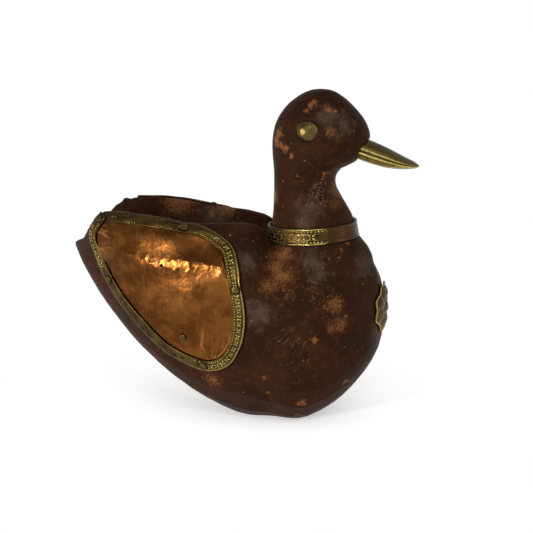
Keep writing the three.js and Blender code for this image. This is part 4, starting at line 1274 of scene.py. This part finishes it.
def eye(name, node_name, seed):
    """A struck dome: a low cap cut back by flat planes, standing where its solid stands."""
    node = points_of(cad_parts[node_name].data) / MM
    depth = np.abs(node[:, 1])
    top = node[depth > depth.max() - 0.4].mean(0)
    heads = node[depth > depth.max() - EYE_HEIGHT - 0.6]
    out = unit(top - heads.mean(0))
    first = unit(np.cross(out, (0.0, 0.0, 1.0)))
    second = np.cross(out, first)
    foot = top - out * (EYE_HEIGHT + 0.2)
    turn = np.arange(EYE_STEPS) / EYE_STEPS * 2 * np.pi
    edge = 1 - 0.035 * (1 + np.cos(3 * turn + seed)) - 0.02 * (1 + np.cos(5 * turn))
    lift = np.linspace(0, math.pi / 2 - 0.02, EYE_RINGS)[:, None]
    level = np.cos(lift)
    ways = np.stack([level * np.cos(turn), level * np.sin(turn), np.sin(lift) + 0 * turn], -1)
    cut_back = np.ones(ways.shape[:2])
    for plane, gap in struck_planes(seed):
        cut_back = np.minimum(cut_back, gap / np.maximum(ways @ plane, 1e-6))
    wide = EYE_SIZE / 2 * edge
    dome = ways * cut_back[..., None] * np.stack([wide, wide, EYE_HEIGHT + 0 * wide], -1)
    skirt = np.stack([0.9 * wide * np.cos(turn), 0.9 * wide * np.sin(turn), 0 * wide - 1.2], -1)
    local = np.concatenate([skirt[None], dome])
    placed = foot + local[..., :1] * first + local[..., 1:2] * second + local[..., 2:] * out
    rim = 1 - smoothstep(local[..., 2], 0.0, 1.0)
    return skin(name, placed, FILED_BRASS, raised=0.1, grime=0.55 * rim)


hand_over(eye("struck_eye_right", "eye_right", 5), "brass", "eye_right")
hand_over(eye("struck_eye_left", "eye_left", 9), "brass", "eye_left")

# %% [markdown]
# ## Breast rosette
# A thin embossed flower of eight petals, bent round the breast and nailed above and below. It has gone
# brown all over, and only its rim, which sleeves and cloths rub, is still bright.

# %% Rosette
ROSETTE_RISE = 0.554
ROSETTE_SEAT_DEPTH = 0.86
ROSETTE_PIN_INSET = 4.3
ROSETTE_Z = ROSETTE_RISE * BODY_HEIGHT
ROSETTE_SIZE = 33
ROSETTE_LOBES = 8
ROSETTE_SEAT_X = (1 - ORIGIN_ALONG) * BODY_LENGTH - ROSETTE_SEAT_DEPTH
BEND_ACROSS = 27
BEND_UP = 70
ROSETTE_THICKNESS = 0.9
PETAL_HEIGHT = 1.5
ROSETTE_RINGS = 60
ROSETTE_STEPS = 200
ROSETTE_PIN_REACH = ROSETTE_SIZE / 2 - ROSETTE_PIN_INSET


def rosette():
    """The plaque in rings from its boss to its rim: petals, a ring of beads, and dents of its own."""
    turn = np.arange(ROSETTE_STEPS) / ROSETTE_STEPS * 2 * np.pi
    share = np.linspace(0.004, 1, ROSETTE_RINGS)[:, None]
    lobe = 0.5 - 0.5 * np.cos(ROSETTE_LOBES * turn)
    radius = ROSETTE_SIZE / 2 * (0.9 + 0.1 * lobe) * share
    y, rise = radius * np.cos(turn), radius * np.sin(turn)
    bend = ROSETTE_SEAT_X - y**2 / (2 * BEND_ACROSS) - rise**2 / (2 * BEND_UP)
    seat = np.stack([bend, y, rise + ROSETTE_Z], -1)
    boss = PETAL_HEIGHT * np.clip(1 - (share / 0.26) ** 2, 0, 1) ** 0.7
    petal = np.where(share < 0.3, 0, np.sin(np.clip((share - 0.3) / 0.62, 0, 1) * np.pi)) * lobe**0.6
    vein = 0.35 * hump(lobe, 1, 0.02) * smoothstep(share, 0.4, 0.5)
    beads = 0.5 * hump(share, 0.33, 0.035) * (0.5 + 0.5 * np.cos(3 * ROSETTE_LOBES * turn))
    rim = hump(share, 0.965, 0.025)
    relief = boss + PETAL_HEIGHT * petal - vein + beads + 0.55 * rim
    relief = relief + 0.22 * rough(seat.reshape(-1, 3), 4.0, 11.0).reshape(y.shape)
    below, above = seat.copy(), seat.copy()
    below[..., 0] = bend + GAP
    above[..., 0] = bend + GAP + ROSETTE_THICKNESS + np.maximum(relief, -0.3)
    bright = np.clip(rim + 0.3 * relief / PETAL_HEIGHT, 0, 1)
    dirt_and_shade = np.clip(0.35 - 0.3 * relief / PETAL_HEIGHT, 0, 1) * (share < 0.93)
    return plate("embossed_rosette", BRASS, below, above, bright, dirt_and_shade, 8, raised_below=0.9)


hand_over(rosette(), "brass", "breast_rosette")

# %% Rosette pins
rises = np.array((1.0, -1.0)) * ROSETTE_PIN_REACH
foot_x = ROSETTE_SEAT_X - rises**2 / (2 * BEND_UP) + 2 * GAP + ROSETTE_THICKNESS
pin_feet = np.stack([foot_x, 0 * rises, ROSETTE_Z + rises], 1)
pin_out = unit(np.stack([1 + 0 * rises, 0 * rises, rises / BEND_UP], 1))
spots = places_object(pin_feet, pin_out, np.tile((0.0, 1.0, 0.0), (2, 1)))
rosette_pins = link("rosette_pins", bpy.data.meshes.new("rosette_pins"))
stamp_along(rosette_pins, pin, spots, BRASS, 0.64, 0.05, 3)
hand_over(rosette_pins, "brass", "rosette_pin_top", "rosette_pin_bottom")

# %% [markdown]
# ## Carved wood
# Body and head are each one block, carved with a knife and rasp and worn smooth since. A copy of each
# solid is rebuilt from small voxels, which gives an even mesh, and then smoothed until the flat facets
# are gone and edges look handled. Noise adds the uneven carving. Chips are pressed in as real hollows,
# and the same numbers tell the material where the stain is gone. Other values say where the wood is
# rubbed, scuffed or pitted, where its wax has bloomed grey with painted sheen, and where painted shade,
# with some dirt, darkens it along the metal.

# %% Blocks rebuilt
VOXEL = 1.05
SMOOTH_ROUNDS = 14


def carved_block(name, node):
    """The solid of a node rebuilt as an even, smoothed mesh."""
    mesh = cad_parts[node].data.copy()
    work = bmesh.new()
    work.from_mesh(mesh)
    bmesh.ops.remove_doubles(work, verts=work.verts, dist=0.001 * MM)
    work.to_mesh(mesh)
    work.free()
    piece = link(name, mesh)
    rebuild = piece.modifiers.new("voxels", "REMESH")
    rebuild.mode = "VOXEL"
    rebuild.voxel_size = VOXEL * MM
    wear = piece.modifiers.new("wear", "SMOOTH")
    wear.factor = 0.5
    wear.iterations = SMOOTH_ROUNDS
    settle(piece)
    piece.data.materials.clear()
    piece.data.materials.append(WOOD)
    piece.data.shade_smooth()
    return piece


blocks = [carved_block(f"carved_{node}", node) for node in ("body", "head")]
print("blocks:", {block.name: len(block.data.vertices) for block in blocks})

# %% Where the wood is worn
# A chip is a place with the radius that the stain is gone over.
CHIPS = [(26, -14, 206, 2.0), (24, -16, 204, 1.8), (22, -18, 201, 1.6), (35, -16, 202, 2.0)]
CHIPS += [(39, -15, 201, 1.5), (4, -13, 186, 3.0), (2, -12, 181, 3.0), (5, -15, 179, 2.2)]
CHIPS += [(9, -18, 177, 2.0), (13, -20, 173, 1.6), (36, -13, 161, 1.6), (33, -14, 161, 1.4)]
CHIPS += [(51, -34, 76, 1.3), (33, -45, 62, 2.0), (2, -41, 24, 1.9), (24, -37, 19, 2.2)]
CHIPS += [(21, -37, 17, 1.4), (50, -27, 31, 2.0), (48, -14, 118, 1.9), (45, -20, 115, 1.5)]
CHIPS += [(-9, -45, 37, 1.2), (1, -44, 35, 1.3), (19, -28, 7, 1.5)]
# A rub is the same for places worn to a yellow brown.
RUBS = [(9, -27, 112, 6), (6, -32, 104, 6), (3, -41, 94, 5), (12, -36, 100, 6), (44, -37, 83, 5)]
RUBS += [(46, -38, 71, 5), (-35, -40, 30, 5), (38, -17, 187, 4), (39, -3, 150, 6), (36, -8, 140, 5)]
RUBS += [(0, -8, 146, 5), (-4, -12, 134, 5), (-70, 29, 134, 9), (-40, 28, 131, 8)]
# Scuffed places show fine slanting scratches.
SCUFFS = [(30, -42, 92, 16), (40, -40, 86, 14), (14, -42, 88, 12), (24, -30, 140, 12), (20, -45, 60, 20)]
# Where old wax has bloomed grey, with painted sheen, and where small pits sit close together.
BLOOMS_AND_SHEENS = [(27, -32, 109, 9), (33, -34, 104, 8), (36, -17, 197, 9), (25, -21, 140, 8), (22, -22, 131, 7)]
BLOOMS_AND_SHEENS += [(44, -14, 193, 9), (-2, -47, 78, 9), (-12, -40, 108, 8), (58, -14, 104, 8), (64, -12, 60, 8)]
PITS = [(31, -16, 152, 6), (30, -16, 145, 6), (34, -13, 156, 4)]
WEAR = [
    # value and its most, spots, more at random (how many, radii from and to, seed), noise at edges and size
    ("bare", 1.0, CHIPS, (12, 1.3, 2.6, 0), 0.4, 2.6),
    ("rub", 0.72, RUBS, (10, 5, 9, 1), 0.3, 6.0),
    ("scuff", 0.35, SCUFFS, (5, 10, 18, 3), 0, 1.0),
    ("bloom", 1.0, BLOOMS_AND_SHEENS, (6, 6, 12, 4), 0, 1.0),
    ("pitted", 0.95, PITS, (0, 1, 1, 5), 0, 1.0),
]


def spread(points, spots, wobble):
    """For each point the most that any spot says: 1 at its middle, 0.5 at its radius, 0 at twice it."""
    most = np.zeros(len(points))
    for x, y, z, radius in spots:
        gap = np.linalg.norm(points - (x, y, z), axis=1)
        most = np.maximum(most, np.clip(1 - gap / (2 * radius) + wobble, 0, 1) * (gap < 3 * radius))
    return most


def scattered(points, count, low, high, seed):
    """More spots of the same kind at random places on the parts that no photograph shows."""
    draw = np.random.default_rng(seed)
    hidden = points[points[:, 1] > 6]
    chosen = hidden[draw.integers(0, len(hidden), count)]
    return [(*p, r) for p, r in zip(chosen, draw.uniform(low, high, count))]


print("worn places:", {name: len(spots) for name, _, spots, *_ in WEAR})

# %% Blocks dressed
CARVE = 19.0
CARVE_DEPTH = 0.34
RASP = 5.5
RASP_DEPTH = 0.1
CHIP_DEPTH = 0.35

metal_edges = [points_of(o.data)[::3] for o in (edging_right, edging_left, collar_piece)]
near_metal = kdtree.KDTree(sum(len(rows) for rows in metal_edges))
for index, place in enumerate(np.concatenate(metal_edges)):
    near_metal.insert(place, index)
near_metal.balance()


def dress_block(piece, seed):
    """Carves a block's surface unevenly, presses its chips in and gives it the values of its wear, painted
    sheen and painted shade.
    """
    points = points_of(piece.data) / MM
    normals = points_of(piece.data, "vertex_normals", "vector")
    values = {}
    for name, most, spots, (count, low, high, step), fret, size in WEAR:
        more = scattered(points, count, low, high, int(seed) + step)
        wobble = fret * rough(points, size, seed + step) if fret else 0
        values[name] = most * spread(points, spots + more, wobble)
    # The wood is darkened close to the metal: painted shade where the parts meet, with some dirt.
    metal = np.array([near_metal.find(p * MM)[2] for p in points]) / MM
    values["grime"] = 0.8 * (1 - smoothstep(metal, 0.6, 2.4))
    for name, value in values.items():
        set_value(piece.data, name, value)
    depth = CARVE_DEPTH * rough(points, CARVE, seed) + RASP_DEPTH * rough(points, RASP, seed + 3)
    depth -= CHIP_DEPTH * smoothstep(values["bare"], 0.42, 0.62)
    above_foot = smoothstep(points[:, 2], 0.2, 1.5)
    carved = points + normals * (depth * above_foot)[:, None]
    carved[:, 2] = np.maximum(carved[:, 2], 0)
    piece.data.vertices.foreach_set("co", (carved * MM).astype(np.float32).ravel())
    piece.data.update()


for block, node, seed in zip(blocks, ("body", "head"), (17.0, 29.0)):
    dress_block(block, seed)
    hand_over(block, "wood", node)

# %% [markdown]
# ## Dowel
# The dowel that joins the two blocks is hidden in the neck. Its solid is right as it is and only takes
# the wood. The stamps have done their work and are removed.

# %% Dowel and clearing up
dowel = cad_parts["neck_dowel"]
dowel.data.materials.clear()
dowel.data.materials.append(WOOD)
for stamp in (bead, pin, cross, *dull_stamps.values()):
    bpy.data.objects.remove(stamp)
